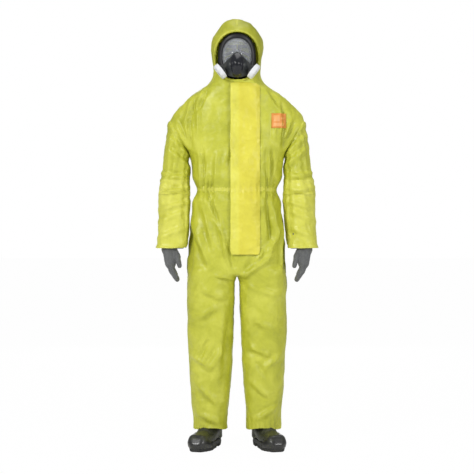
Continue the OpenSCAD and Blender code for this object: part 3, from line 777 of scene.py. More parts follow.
def split(ob, tests):
    """Cuts a mesh into named pieces by the middle of each face. The pieces keep
    the whole mesh's normals, so that no line shows where they meet."""
    co, n = points(ob), normals(ob)
    polys = [tuple(p.vertices) for p in ob.data.polygons]
    middle = np.array([co[list(p)].mean(0) for p in polys])
    taken = np.zeros(len(polys), bool)
    made = {}
    for name, test in tests:
        mine = test(middle) & ~taken
        taken |= mine
        faces = [polys[i] for i in np.where(mine)[0]]
        used = sorted({i for f in faces for i in f})
        place = {v: k for k, v in enumerate(used)}
        piece = new_object(name, co[used], [tuple(place[i] for i in f) for f in faces])
        thicken(piece, THICK, -1)
        both = np.vstack([n[used], -n[used]])
        if len(both) == len(piece.data.vertices):
            piece.data.normals_split_custom_set_from_vertices([tuple(v) for v in both])
        made[name] = piece
    bpy.data.objects.remove(ob)
    return made


def rim_path(ob, centre, axis):
    """Open edge of a tube, put in order round an axis."""
    co = points(ob)
    edge = [i for i in edge_vertices(ob) if co[i][2] > ARMPIT.z - 0.012]
    side = axis.cross(Vector((0, 1, 0))).normalized()
    up = axis.cross(side)

    def turn(i):
        d = Vector(co[i]) - centre
        return math.atan2(d.dot(up), d.dot(side))

    edge.sort(key=turn)
    path = []
    for i in edge[::2]:
        p = Vector(co[i])
        out = p - centre
        out -= axis * out.dot(axis)
        path.append((p, out.normalized()))
    return path


BODY_TREE = tree_of(body)
RIMS = {}
for name, side in SIDES.items():
    _, out = arm_plane(side)
    middle = Vector((side * (ARM_TIP.x + ARMPIT.x) / 2, MID_Y, (ARM_TIP.z + ARMPIT.z) / 2))
    RIMS[name] = rim_path(sleeves[name], middle, out)
SLEEVE_TREES = {name: tree_of(ob) for name, ob in sleeves.items()}

HOOD_PIVOT = Vector(joint("hood_tilt")["pos_m"])
HOOD_SLOPE = 0.52
HOOD_UP = Vector((0, HOOD_SLOPE, 1)).normalized()
HIP_SPLIT = CROTCH_Z - 0.006
KNEE_SPLIT = KNEE_Z + 0.055
ELBOW_SPLIT = ELBOW_Z + 0.040

parts = split(body, [
    ("coverall_hood", lambda m: (m - np.array(HOOD_PIVOT)) @ np.array(HOOD_UP) > -0.001),
    ("coverall_trunk", lambda m: m[:, 2] > HIP_SPLIT),
    ("trouser_upper_right", lambda m: (m[:, 2] > KNEE_SPLIT) & (m[:, 0] < 0)),
    ("trouser_upper_left", lambda m: (m[:, 2] > KNEE_SPLIT) & (m[:, 0] >= 0)),
    ("trouser_lower_right", lambda m: m[:, 0] < 0),
    ("trouser_lower_left", lambda m: m[:, 0] >= 0),
])
for name in SIDES:
    parts.update(split(sleeves[name], [
        (f"sleeve_head_{name}", lambda m: m[:, 2] > ELBOW_SPLIT),
        (f"sleeve_end_{name}", lambda m: m[:, 2] <= ELBOW_SPLIT),
    ]))


def bend_hood(ob):
    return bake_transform(ob)


def bend_hip(ob, name):
    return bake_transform(ob)


def bend_knee(ob, name):
    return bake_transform(ob)


def bend_shoulder(ob):
    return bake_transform(ob)


def bend_elbow(ob):
    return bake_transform(ob)


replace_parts(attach(parts["coverall_trunk"], "torso"), "torso_front_right",
            "torso_front_left", "torso_back", "hood_collar", "crotch_gusset")
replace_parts(bend_hood(parts["coverall_hood"]), "hood_right", "hood_left")
for name in SIDES:
    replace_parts(bend_hip(parts[f"trouser_upper_{name}"], name), f"leg_upper_{name}")
    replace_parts(bend_knee(parts[f"trouser_lower_{name}"], name), f"leg_lower_{name}",
                f"ankle_elastic_{name}")
    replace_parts(bend_shoulder(parts[f"sleeve_head_{name}"]), f"sleeve_upper_{name}")
    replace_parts(bend_elbow(parts[f"sleeve_end_{name}"]), f"sleeve_lower_{name}")


# ----------------------------------------------------------- strips on the fabric
def around(tree, centre_at, height_at, count=120):
    """Closed path round a tube of fabric: points and outward normals."""
    path = []
    for k in range(count):
        a = 2 * math.pi * k / count
        z = height_at(a)
        way = Vector((math.cos(a), math.sin(a), 0))
        hit = tree.ray_cast(centre_at(z) + way * REACH, -way)
        if hit[0] is not None and hit[3] < REACH:
            path.append((hit[0], hit[1]))
    return path


def even(path, window=2, closed=True):
    """Softens a path of points and normals."""
    p = np.array([q[0][:] for q in path])
    n = np.array([q[1][:] for q in path])
    for _ in range(window):
        if closed:
            p = (np.roll(p, 1, 0) + 2 * p + np.roll(p, -1, 0)) / 4
            n = (np.roll(n, 1, 0) + 2 * n + np.roll(n, -1, 0)) / 4
        else:
            p[1:-1] = (p[:-2] + 2 * p[1:-1] + p[2:]) / 4
            n[1:-1] = (n[:-2] + 2 * n[1:-1] + n[2:]) / 4
    return p, n / np.linalg.norm(n, axis=1, keepdims=True)


def strip(name, path, width, height, closed=True, lift=0.0, soften=2):
    """Low rounded strip that lies on the fabric along a path."""
    p, n = even(path, soften, closed)
    if closed:
        run = np.roll(p, -1, 0) - np.roll(p, 1, 0)
    else:
        run = np.gradient(p, axis=0)
    run /= np.linalg.norm(run, axis=1, keepdims=True)
    side = np.cross(n, run)
    profile = [(-0.5, -0.4), (-0.46, 0.45), (-0.25, 0.85), (0, 1), (0.25, 0.85),
               (0.46, 0.45), (0.5, -0.4)]
    rows = len(profile)
    verts = []
    for point, up, across in zip(p, n, side):
        verts += [point + across * s * width + up * (h * height + lift)
                  for s, h in profile]
    count = len(p)
    faces = []
    for j in range(count if closed else count - 1):
        k = (j + 1) % count
        for i in range(rows):
            m = (i + 1) % rows
            faces.append((j * rows + i, k * rows + i, k * rows + m, j * rows + m))
    if not closed:
        faces.append(tuple(reversed(range(rows))))
        faces.append(tuple((count - 1) * rows + i for i in range(rows)))
    return face_out(new_object(name, verts, faces))


pieces = {}
for name, side in SIDES.items():
    tree = SLEEVE_TREES[name]
    centre = sleeve_centre(side)
    tape = strip(f"sleeve_tape_{name}", around(tree, centre, lambda a: ELBOW_Z - 0.012),
                 0.022, 0.0010)
    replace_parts(bend_elbow(tape), f"sleeve_seam_tape_{name}")
    hem = strip(f"cuff_hem_{name}", around(tree, centre, lambda a: CUFF_LO.z + 0.017),
                0.016, 0.0006, soften=1)
    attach(hem, f"forearm_{name}")
    pieces[f"sleeve_tape_{name}"], pieces[f"cuff_hem_{name}"] = tape, hem


waist_path = around(BODY_TREE, lambda z: Vector((0, MID_Y, z)), lambda a: WAIST_Z + 0.003, 260)
casing = strip("waist_casing", waist_path, 0.031, 0.0013, soften=1)
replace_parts(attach(casing, "torso"), "waist_elastic")
LIME = []


def ray_path(tree, starts, way):
    path = []
    for p in starts:
        hit = tree.ray_cast(Vector(p), Vector(way))
        if hit[0] is not None:
            n = hit[1]
            path.append((hit[0], n if n.dot(Vector(way)) < 0 else -n))
    return path


def seam_tapes():
    """Welts over the armhole seams, the trunk's side seams and the outer leg seams."""
    for name, side in SIDES.items():
        tape = strip(f"armhole_tape_{name}", RIMS[name], 0.010, 0.0018, soften=4)
        LIME.append(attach(tape, "torso"))
        spans = (("side_seam", CROTCH_Z + 0.01, ARMPIT.z - 0.012, None),
                 ("leg_seam_upper", KNEE_SPLIT, HIP_SPLIT, bend_hip),
                 ("leg_seam_lower", LEG_LO.z + 0.02, KNEE_SPLIT, bend_knee))
        for label, low, high, bend in spans:
            count = int((high - low) / 0.006)
            starts = [(side * 0.6, MID_Y, low + (high - low) * k / count)
                      for k in range(count + 1)]
            path = ray_path(BODY_TREE, starts, (-side, 0, 0))
            tape = strip(f"{label}_{name}", path, 0.006, 0.0010, closed=False)
            if bend:
                bend(tape, name)
            else:
                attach(tape, "torso")
            LIME.append(tape)


def hood_trims():
    """Gathered binding round the face opening and tape over the crown."""
    path = []
    for k in range(110):
        x, z = opening_point(2 * math.pi * k / 110)
        p = Vector((x * 1.035, -1, OPENING_Z + (z - OPENING_Z) * 1.035))
        hit = BODY_TREE.ray_cast(p, Vector((0, 1, 0)))
        if hit[0] is None or hit[0].y > MID_Y + 0.02:
            continue
        path.append((Vector((x, hit[0].y + 0.0015, z)), hit[1]))
    p, _ = even(path, 3)
    verts = []
    around = 10
    for k, point in enumerate(p):
        run = Vector(p[(k + 1) % len(p)] - p[k - 1]).normalized()
        out = Vector((point[0], 0, point[2] - OPENING_Z)).normalized()
        deep = run.cross(out).normalized()
        swell = 0.0052 + 0.0008 * math.sin(k * 1.9) + 0.0005 * math.sin(k * 3.7)
        for i in range(around):
            a = 2 * math.pi * i / around
            verts.append(Vector(point) + out * math.cos(a) * swell
                         + deep * math.sin(a) * swell * 0.9)
    faces = []
    for j in range(len(p)):
        k = (j + 1) % len(p)
        faces += [(j * around + i, j * around + (i + 1) % around,
                   k * around + (i + 1) % around, k * around + i)
                  for i in range(around)]
    binding = new_object("face_binding", verts, faces)
    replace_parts(bend_hood(binding), "face_elastic")
    centre = Vector((0, MID_Y, 1.70))
    path = []
    for k in range(60):
        a = math.radians(-38 + 218 * k / 59)
        way = Vector((0, -math.cos(a), math.sin(a)))
        if k < 1 and way.z < 0:
            continue
        hit = BODY_TREE.ray_cast(centre + way * 0.5, -way)
        if hit[0] is None or hit[0].z < FACE_HI.z + 0.004 and hit[0].y < MID_Y:
            continue
        n = hit[1] if hit[1].dot(way) > 0 else -hit[1]
        path.append((hit[0], n))
    tape = strip("crown_tape", path, 0.013, 0.0012, closed=False)
    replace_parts(bend_hood(tape), "hood_crown_tape")
    LIME.extend([binding, tape])


def front_grid(rows, cols, lo, hi):
    """Heights of the trunk's front over a grid, with the zip slot bridged."""
    y = np.full((rows + 1, cols + 1), np.nan)
    for j in range(rows + 1):
        for i in range(cols + 1):
            x = lo[0] + (hi[0] - lo[0]) * i / cols
            z = lo[1] + (hi[1] - lo[1]) * j / rows
            hit = BODY_TREE.ray_cast(Vector((x, -1, z)), Vector((0, 1, 0)))
            if hit[0] is not None and hit[0].y < MID_Y - 0.02:
                y[j, i] = hit[0].y
        good = np.where(~np.isnan(y[j]))[0]
        if len(good):
            y[j] = np.interp(np.arange(cols + 1), good, y[j][good])
        else:
            y[j] = y[j - 1]
    return y


def soften_grid(y, passes):
    y = y.copy()
    for _ in range(passes):
        y[:, 1:-1] = (y[:, :-2] + 2 * y[:, 1:-1] + y[:, 2:]) / 4
        y[1:-1] = (y[:-2] + 2 * y[1:-1] + y[2:]) / 4
    return y


def storm_flap():
    """Wide flap over the zip: sewn on the wearer's left, free on the right."""
    rows, cols = 170, 34
    lo, hi = (FLAP_LO.x, FLAP_LO.z - 0.008), (FLAP_HI.x, FLAP_HI.z + 0.009)
    raw = front_grid(rows, cols, lo, hi)
    smooth = np.minimum(soften_grid(raw, 14), raw + 0.0015)

    def lift(u):
        free = 1 - smooth_step(u / 0.25)
        sewn = smooth_step((u - 0.86) / 0.14)
        return 0.0075 + 0.0045 * free - 0.0050 * sewn

    def point(u, v):
        x, z = lo[0] + (hi[0] - lo[0]) * u, lo[1] + (hi[1] - lo[1]) * v
        j, i = round(v * rows), round(u * cols)
        wander = noise.noise(Vector((x * 8, z * 5, 2)))
        waist = near(z, WAIST_Z, 0.030) * 0.0016 * math.sin(x * 260 + 5 * wander)
        soft = 0.0060 * noise.noise(Vector((x * 12, z * 8, 7)))
        edge = 0.0022 * noise.noise(Vector((z * 11, 3, 9))) * (1 - u)
        hem = -0.0008 * float(near(u * (hi[0] - lo[0]), 0.010, 0.0022))
        y = smooth[j, i] - float(lift(u)) - waist - soft + hem
        top = max(v - 0.96, 0) / 0.04
        y += 0.012 * top ** 2
        corner = max(0.03 - v, 0) / 0.03
        x += 0.006 * corner ** 2 * (1 - 2 * u)
        return x + edge, y, z

    ob = sheet("storm_flap_cloth", rows, cols, point)
    loose = np.zeros(len(ob.data.vertices))
    facets(ob, 0.0036, 20, 21, loose)
    facets(ob, -0.0018, 40, 24, loose)
    crumple(ob, 0.0007, 60, 22, 0.8)
    thicken(ob, 0.0013, 1)
    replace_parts(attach(ob, "flap"), "storm_flap")
    strips = []
    for k, start in enumerate((0.05, 0.21)):
        def tape_point(u, v, start=start):
            x = lo[0] + (hi[0] - lo[0]) * (start + 0.11 * u)
            z = lo[1] + (hi[1] - lo[1]) * (0.02 + 0.94 * v)
            p = point(start + 0.11 * u, 0.02 + 0.94 * v)
            return x, p[1] + 0.0022, z
        strips.append(sheet(f"adhesive_{k}", 90, 3, tape_point))
    tape = join("adhesive_strips", *strips)
    thicken(tape, 0.0005, 0)
    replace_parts(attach(tape, "flap"), "flap_tape")
    return ob, tape


def chest_label():
    lo, hi = lo_hi("chest_label")
    rows = 14
    raw = front_grid(rows, rows, (lo.x, lo.z), (hi.x, hi.z))
    raw = np.minimum(soften_grid(raw, 3), raw + 0.0004)

    def point(u, v):
        x, z = lo.x + (hi.x - lo.x) * u, lo.z + (hi.z - lo.z) * v
        return x, raw[round(v * rows), round(u * rows)] - 0.0014, z

    ob = sheet("chest_label_patch", rows, rows, point)
    thicken(ob, 0.0006, 1)
    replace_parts(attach(ob, "torso"), "chest_label")
    return ob


def inner_cuff(name, side):
    """Second cuff inside the sleeve, gathered to the wrist."""
    centre = sleeve_centre(side)
    lo, hi = lo_hi(f"inner_cuff_{name}")
    rings = []
    for k in range(15):
        v = k / 14
        z = lo.z - 0.004 + (hi.z - lo.z) * v
        c = centre(z)
        ring = []
        for i in range(90):
            a = 2 * math.pi * i / 90
            r = 0.041 + 0.007 * v + 0.0012 * math.sin(a * 22 + 2 * v)
            ring.append((c.x + r * math.cos(a), c.y + r * 0.92 * math.sin(a), z))
        rings.append(ring)
    ob = new_object(f"wrist_cuff_{name}", *stack(rings, caps=False))
    thicken(ob, 0.0012, 0)
    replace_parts(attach(ob, f"forearm_{name}"), f"inner_cuff_{name}")
    return ob


# --------------------------------------------------------------------- gloves
def capsule(name, a, b, ra, rb, around=14, rounds=5):
    a, b = Vector(a), Vector(b)
    run = (b - a).normalized()
    side = run.cross(Vector((0.3, 1, 0.2))).normalized()
    up = run.cross(side)
    rings = []

    def ring(c, r):
        rings.append([c + side * r * math.cos(2 * math.pi * i / around)
                      + up * r * math.sin(2 * math.pi * i / around)
                      for i in range(around)])

    for k in range(rounds):
        t = math.pi / 2 * (k + 0.5) / rounds
        ring(a - run * ra * math.cos(t), ra * math.sin(t))
    for k in range(rounds, 0, -1):
        t = math.pi / 2 * (k - 0.5) / rounds
        ring(b + run * rb * math.cos(t), rb * math.sin(t))
    return new_object(name, *stack(rings))


def glove(name, side):
    lo, hi = lo_hi(f"glove_{name}")
    wrist = Vector((side * 0.294, MID_Y - 0.032, CUFF_LO.z + 0.008))

    def hand(down, across, fore):
        return wrist + Vector((side * (-down * down * 1.6 - across),
                               fore - 0.05 * down, -down))

    bits = [capsule("gauntlet", hand(-0.050, 0, 0), hand(0.010, 0.002, 0), 0.037, 0.034)]
    for k, fore in enumerate((-0.026, -0.009, 0.009, 0.025)):
        bits.append(capsule("palm", hand(0.012, 0.002, fore * 0.6),
                            hand(0.070, 0, fore * 1.08), 0.030, 0.0235))
    lengths = (0.128, 0.139, 0.135, 0.118)
    for k, (fore, length) in enumerate(zip((-0.030, -0.011, 0.009, 0.027), lengths)):
        knuckle = hand(0.066, 0, fore)
        mid = hand(0.066 + (length - 0.066) * 0.5, -0.002, fore * 0.98)
        tip = hand(length, 0.006, fore * 0.90)
        bits.append(capsule("finger", knuckle, mid, 0.0160, 0.0145))
        bits.append(capsule("finger", mid, tip, 0.0145, 0.0112))
    base, bend_at, end = hand(0.010, 0.016, -0.016), hand(0.040, 0.036, -0.034), \
        hand(0.080, 0.038, -0.040)
    bits.append(capsule("thumb", base, bend_at, 0.021, 0.0145))
    bits.append(capsule("thumb", bend_at, end, 0.0130, 0.0102))
    ob = join(f"knit_glove_{name}", *bits)
    remesh(ob, 0.0026)
    modify(ob, "SMOOTH", factor=0.5, iterations=4)
    co = points(ob)
    value = noise_at(co, (60, 60, 130))
    rib = np.sin(np.arctan2(co[:, 1] - wrist.y, co[:, 0] - wrist.x) * 34)
    cuff = smooth_step((co[:, 2] - wrist.z + 0.004) / 0.01)
    push_out(ob, value * 0.0008 + rib * cuff * 0.0007)
    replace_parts(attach(ob, f"hand_{name}"), f"glove_{name}")
    return ob


# ---------------------------------------------------------------------- boots
SPLAY = math.radians(19)


def boot_frame(name, side):
    """Heel end, forward and sideways directions of one boot."""
    lo, hi = lo_hi(f"boot_sole_{name}")
    forward = Vector((side * math.sin(SPLAY), -math.cos(SPLAY), 0))
    across = Vector((forward.y, -forward.x, 0))
    co = np.array([v.co[:] for v in frame["nodes"][f"boot_sole_{name}"].data.vertices])
    along = co @ np.array(forward)
    off = co @ np.array(across)
    middle = (off.min() + off.max()) / 2
    return forward, across, along.min(), along.max(), middle, co


def ball(centre, r, stretch=1.0, along=(0, 1, 0), half=False):
    """Points on a ball, stretched along one direction."""
    along = np.array(along, float)
    pts = []
    for j in range(13):
        t = math.pi * j / 12
        for i in range(20):
            a = 2 * math.pi * i / 20
            p = np.array([math.sin(t) * math.cos(a), math.sin(t) * math.sin(a), math.cos(t)])
            if half and p[2] < 0:
                p[2] = 0
            p = p + along * (p @ along) * (stretch - 1)
            pts.append(np.array(centre) + r * p)
    return pts


def hull(name, pts):
    bm = bmesh.new()
    for p in pts:
        bm.verts.new(p)
    bmesh.ops.convex_hull(bm, input=bm.verts)
    bmesh.ops.delete(bm, geom=[v for v in bm.verts if not v.link_faces], context="VERTS")
    me = bpy.data.meshes.new(name)
    bm.to_mesh(me)
    bm.free()
    ob = bpy.data.objects.new(name, me)
    bpy.context.scene.collection.objects.link(ob)
    return ob


def toe_box(at, f3, low, r):
    """Points of the tall rounded box over the toes."""
    pts = []
    for side in (-1, 1):
        pts += ball(at(0.868, side * 0.018, low), r, 1.2, f3, True)
        pts += ball(at(0.855, side * 0.016, low + 0.011), r, 1.1, f3, True)
    return pts


def boot_sole(name, widen, f3):
    """Sole with lugs round its edge and a cross tread below."""
    sole = new_object(f"boot_tread_{name}", *gathered([frame["nodes"][f"boot_sole_{name}"]]))
    set_points(sole, widen(points(sole), 0.0))
    remesh(sole, 0.0034)
    modify(sole, "SMOOTH", factor=0.5, iterations=5)
    co, n = points(sole), normals(sole)
    t = co @ f3 / 0.0105
    side_on = np.abs(n[:, 2]) < 0.5
    lug = (np.sin(t * 2 * math.pi) > 0.1) * (co[:, 2] < 0.016) * side_on
    groove = near(co[:, 2], 0.026, 0.0022) * side_on
    tread = (np.sin(t * math.pi) > 0.55) * (n[:, 2] < -0.7) * (co[:, 2] < 0.004)
    push = lug * -0.0016 + groove * -0.0014
    co = co + n * push[:, None]
    co[:, 2] += tread * 0.003
    set_points(sole, co)
    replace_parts(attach(sole, f"shin_{name}"), f"boot_sole_{name}")
    return sole


def boot_welt(name, sole_co, sole_top):
    """Narrow welt round the top of the sole."""
    outline = []
    ring = sole_co[sole_co[:, 2] > sole_top - 0.001]
    centre = ring.mean(0)
    order = np.argsort(np.arctan2(ring[:, 1] - centre[1], ring[:, 0] - centre[0]))
    for p in ring[order]:
        out = Vector((p[0] - centre[0], p[1] - centre[1], 0)).normalized()
        outline.append((Vector((p[0], p[1], sole_top - 0.003)) - out * 0.002, out))
    welt = strip(f"boot_welt_{name}", outline, 0.005, 0.0022, soften=1)
    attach(welt, f"shin_{name}")
    return welt


def boot(name, side):
    forward, across, start, stop, middle, sole_co = boot_frame(name, side)
    length = stop - start
    sole_top = sole_co[:, 2].max()
    f3, a3 = np.array(forward), np.array(across)

    def at(f, s, z):
        """Point of the boot: forward share, sideways and up in metres."""
        return tuple(f3 * (start + f * length) + a3 * (middle + s) + np.array((0, 0, z)))

    def widen(co, out=0.0025):
        """Sole's points moved sideways to a fuller toe and heel."""
        t = (co @ f3 - start) / length
        s = co @ a3 - middle
        full = 0.26 * smooth_step((t - 0.55) / 0.27) + 0.14 * (1 - smooth_step((t - 0.2) / 0.2))
        return co + np.outer(s * full + np.sign(s) * out, a3)

    low = sole_top + 0.0005
    at_toe = start + 0.70 * length
    toes = toe_box(at, f3, low, 0.0275)
    ball_of_foot = ball(at(0.60, 0, low), 0.0475, 1.1, f3, True)
    instep = ball(at(0.43, 0, low + 0.052), 0.030)
    heel = ball(at(0.205, 0, low), 0.041, 1.25, f3, True) + ball(at(0.20, 0, low + 0.03), 0.040)
    shaft = [at(0.275 + 0.18 * math.cos(a), 0.046 * math.sin(a), z)
             for a in np.arange(0, 2 * math.pi, 0.3) for z in (0.118, 0.262)]
    ankle = [p for p in shaft if p[2] < 0.2]
    upper = join(f"boot_leather_{name}", hull("a", toes + ball_of_foot),
                 hull("b", ball_of_foot + instep + ball(at(0.30, 0, low + 0.03), 0.041)),
                 hull("c", heel + ankle + instep), hull("d", shaft))
    remesh(upper, 0.0035)
    modify(upper, "SMOOTH", factor=0.5, iterations=14)
    co = points(upper)
    co[:, 2] = np.maximum(co[:, 2], low)
    set_points(upper, co)
    cut(upper, (0, 0, 0.248), (0, 0, 1))
    co = points(upper)
    t = (co @ f3 - start) / length
    crease = np.zeros(len(co))
    for k, flex in enumerate((0.56, 0.60, 0.64)):
        wave = 0.012 * np.sin((co @ a3 - middle) * 40 + k * 2)
        crease -= 0.0022 * near(t + wave, flex, 0.010) * (co[:, 2] > sole_top + 0.03)
    crease += 0.0012 * near(t, 0.735, 0.012)
    crease += 0.0016 * near(co[:, 2], sole_top + 0.060, 0.004) * (t < 0.42)
    push_out(upper, crease + 0.0006 * noise_at(co, 45))
    thicken(upper, 0.0025, -1)
    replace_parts(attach(upper, f"shin_{name}"), f"boot_upper_{name}")
    skirt = [tuple(p) for p in widen(sole_co) if p[2] > sole_top - 0.001 and p @ f3 > at_toe]
    skirt += [(x, y, 0.013) for x, y, z in skirt]
    cap = hull(f"toe_bumper_{name}", toe_box(at, f3, low, 0.0275) + skirt)
    remesh(cap, 0.0030)
    modify(cap, "SMOOTH", factor=0.5, iterations=14)
    cut(cap, at(0.78, 0, 0), -forward)
    cut(cap, (0, 0, 0.014), (0, 0, -1))
    thicken(cap, 0.0016, -1)
    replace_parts(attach(cap, f"shin_{name}"), f"boot_toe_cap_{name}")
    sole = boot_sole(name, widen, f3)
    return upper, cap, sole, boot_welt(name, sole_co, sole_top)


# ----------------------------------------------------------------- respirator
SEAL_LO, SEAL_HI = lo_hi("face_seal")
FACE_W = SEAL_HI.x
FACE_H = (SEAL_HI.z - SEAL_LO.z) / 2
FACE_Z = (SEAL_LO.z + SEAL_HI.z) / 2
SEAL_Y = SEAL_LO.y
WRAP = 0.026
LENS_SHARE = 0.77
POWER = 2.3


def face_point(phi, share, forward):
    """Point on the mask's outline, shrunk by a share and moved forward."""
    c, s = math.cos(phi), math.sin(phi)
    x = FACE_W * share * math.copysign(abs(c) ** (2 / POWER), c)
    z = FACE_H * share * math.copysign(abs(s) ** (2 / POWER), s)
    return Vector((x, SEAL_Y + WRAP * (x / FACE_W) ** 2 - forward, FACE_Z + z))


def face_tube(name, profile, around=120):
    """Ring that follows the mask's outline; profile holds (share, forward)."""
    rows = len(profile)
    verts = [face_point(2 * math.pi * k / around, share, forward)
             for k in range(around) for share, forward in profile]
    faces = []
    for j in range(around):
        k = (j + 1) % around
        faces += [(j * rows + i, j * rows + (i + 1) % rows,
                   k * rows + (i + 1) % rows, k * rows + i) for i in range(rows)]
    return face_out(new_object(name, verts, faces))


def dome(x, z, share):
    r = (abs(x) / (FACE_W * share)) ** POWER + (abs(z - FACE_Z) / (FACE_H * share)) ** POWER
    return max(1 - r, 0)


def wrap_y(x):
    return SEAL_Y + WRAP * (x / FACE_W) ** 2


HOUSING_TOP = 0.016
HOUSING_HALF = 0.058


def nose_line(x):
    return FACE_Z + HOUSING_TOP - 0.92 * abs(x)


def low_edge(x):
    """Height of the mask's lower edge."""
    return FACE_Z - FACE_H * 0.93 * (1 - (abs(x) / (FACE_W * 0.93)) ** POWER) ** (1 / POWER)


def shell_y(x, z):
    """Lower half of the mask, swelling towards the mouth."""
    fx = max(1 - (abs(x) / (HOUSING_HALF + 0.008)) ** 2, 0)
    fz = max(1 - (abs(z - FACE_Z + 0.040) / 0.072) ** 2, 0)
    cheek = 0.010 * float(near(abs(x), 0.040, 0.012) * near(z, FACE_Z - 0.045, 0.022))
    return wrap_y(x) - 0.014 - 0.060 * fx * fz - cheek


def lens_point(u, v):
    p = face_point(2 * math.pi * u, LENS_SHARE * (1 - v), 0)
    lift = 0.008 + 0.032 * (dome(p.x, p.z, LENS_SHARE) ** 0.8)
    return p.x, wrap_y(p.x) - lift, p.z


def visor():
    """Clear bulging lens, cut away where the housing covers it."""
    lens = sheet("visor", 26, 120, lambda u, v: lens_point(u, v * 0.998))
    with editing(lens) as bm:
        bmesh.ops.remove_doubles(bm, verts=bm.verts, dist=0.0002)
        gone = [f for f in bm.faces
                if f.calc_center_median().z < nose_line(f.calc_center_median().x) - 0.008]
        bmesh.ops.delete(bm, geom=gone, context="FACES")
        bmesh.ops.recalc_face_normals(bm, faces=bm.faces)
    thicken(lens, 0.0022, 0)
    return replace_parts(lens, "mask_lens")


def housing_point(u, v):
    x = -HOUSING_HALF + 2 * HOUSING_HALF * u
    low, top = low_edge(x) + 0.002, nose_line(x)
    z = low + (top - low) * v
    roll = 0.010 * (v > 0.965) * (v - 0.965) / 0.035
    return x, shell_y(x, z) + roll, z


def kite(t, grow):
    """Outline of the kite-shaped cover: shoulders high, point low."""
    corners = [(0.0, 0.012), (0.013, 0.004), (0.029, -0.016), (0.024, -0.048),
               (0.016, -0.082), (0.0, -0.089)]
    corners += [(-x, z) for x, z in reversed(corners[1:-1])]
    n = len(corners)
    f = t * n
    i = int(f) % n
    g = f - int(f)
    a, b = corners[i], corners[(i + 1) % n]
    x, z = a[0] + (b[0] - a[0]) * g, a[1] + (b[1] - a[1]) * g
    return x * grow, FACE_Z - 0.036 + (z + 0.036) * grow


# Rings of the kite from its rim inwards: size and height above the housing
KITE_RINGS = ((1.14, -0.003), (1.12, 0.006), (1.02, 0.0150), (0.95, 0.0165),
              (0.86, 0.0105), (0.60, 0.0140), (0.30, 0.0155), (0.04, 0.0160))
KITE_AROUND = 160


def valve_cover():
    """Raised kite over the exhalation valve."""
    rings = []
    for grow, height in reversed(KITE_RINGS):
        outline = [kite(k / KITE_AROUND, grow) for k in range(KITE_AROUND)]
        rings.append([(x, shell_y(x, z) - height, z) for x, z in outline])
    cover = new_object("valve_cover", *stack(rings))
    modify(cover, "SMOOTH", factor=0.5, iterations=10)
    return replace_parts(cover, "exhalation_cover")


def cup_point(u, v):
    x = -0.050 + 0.100 * u
    top = FACE_Z + 0.026 - 1.0 * abs(x) * (1 - 0.25 * abs(x) / 0.05)
    low = FACE_Z - 0.082 + 0.4 * abs(x)
    z = low + (top - low) * v
    fx = max(1 - (abs(x) / 0.060) ** 2, 0)
    return x, wrap_y(x) - 0.004 - 0.030 * fx + 0.010 * v, z


SEAL_PROFILE = [(0.64, -0.004), (0.66, 0.000), (0.80, 0.003), (0.95, 0.003),
                (1.0, 0.000), (1.0, -0.005), (0.96, -0.008), (0.70, -0.008)]
RIM_PROFILE = [(LENS_SHARE - 0.02, 0.004), (LENS_SHARE - 0.015, 0.013),
               (LENS_SHARE + 0.02, 0.017), (0.90, 0.016), (0.945, 0.013),
               (0.965, 0.008), (0.965, 0.004)]


def respirator():
    made = {"seal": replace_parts(face_tube("rubber_seal", SEAL_PROFILE), "face_seal"),
            "rim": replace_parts(face_tube("visor_rim", RIM_PROFILE), "lens_frame"),
            "lens": visor()}
    shell = sheet("mask_body", 60, 64, housing_point)
    thicken(shell, 0.0028, 1)
    made["shell"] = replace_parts(shell, "front_housing")
    made["cover"] = valve_cover()
    cup = sheet("inner_cup", 40, 40, cup_point)
    thicken(cup, 0.0022, -1)
    made["cup"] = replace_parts(cup, "nose_cup")
    for ob in made.values():
        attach(ob, "mask")
    return made


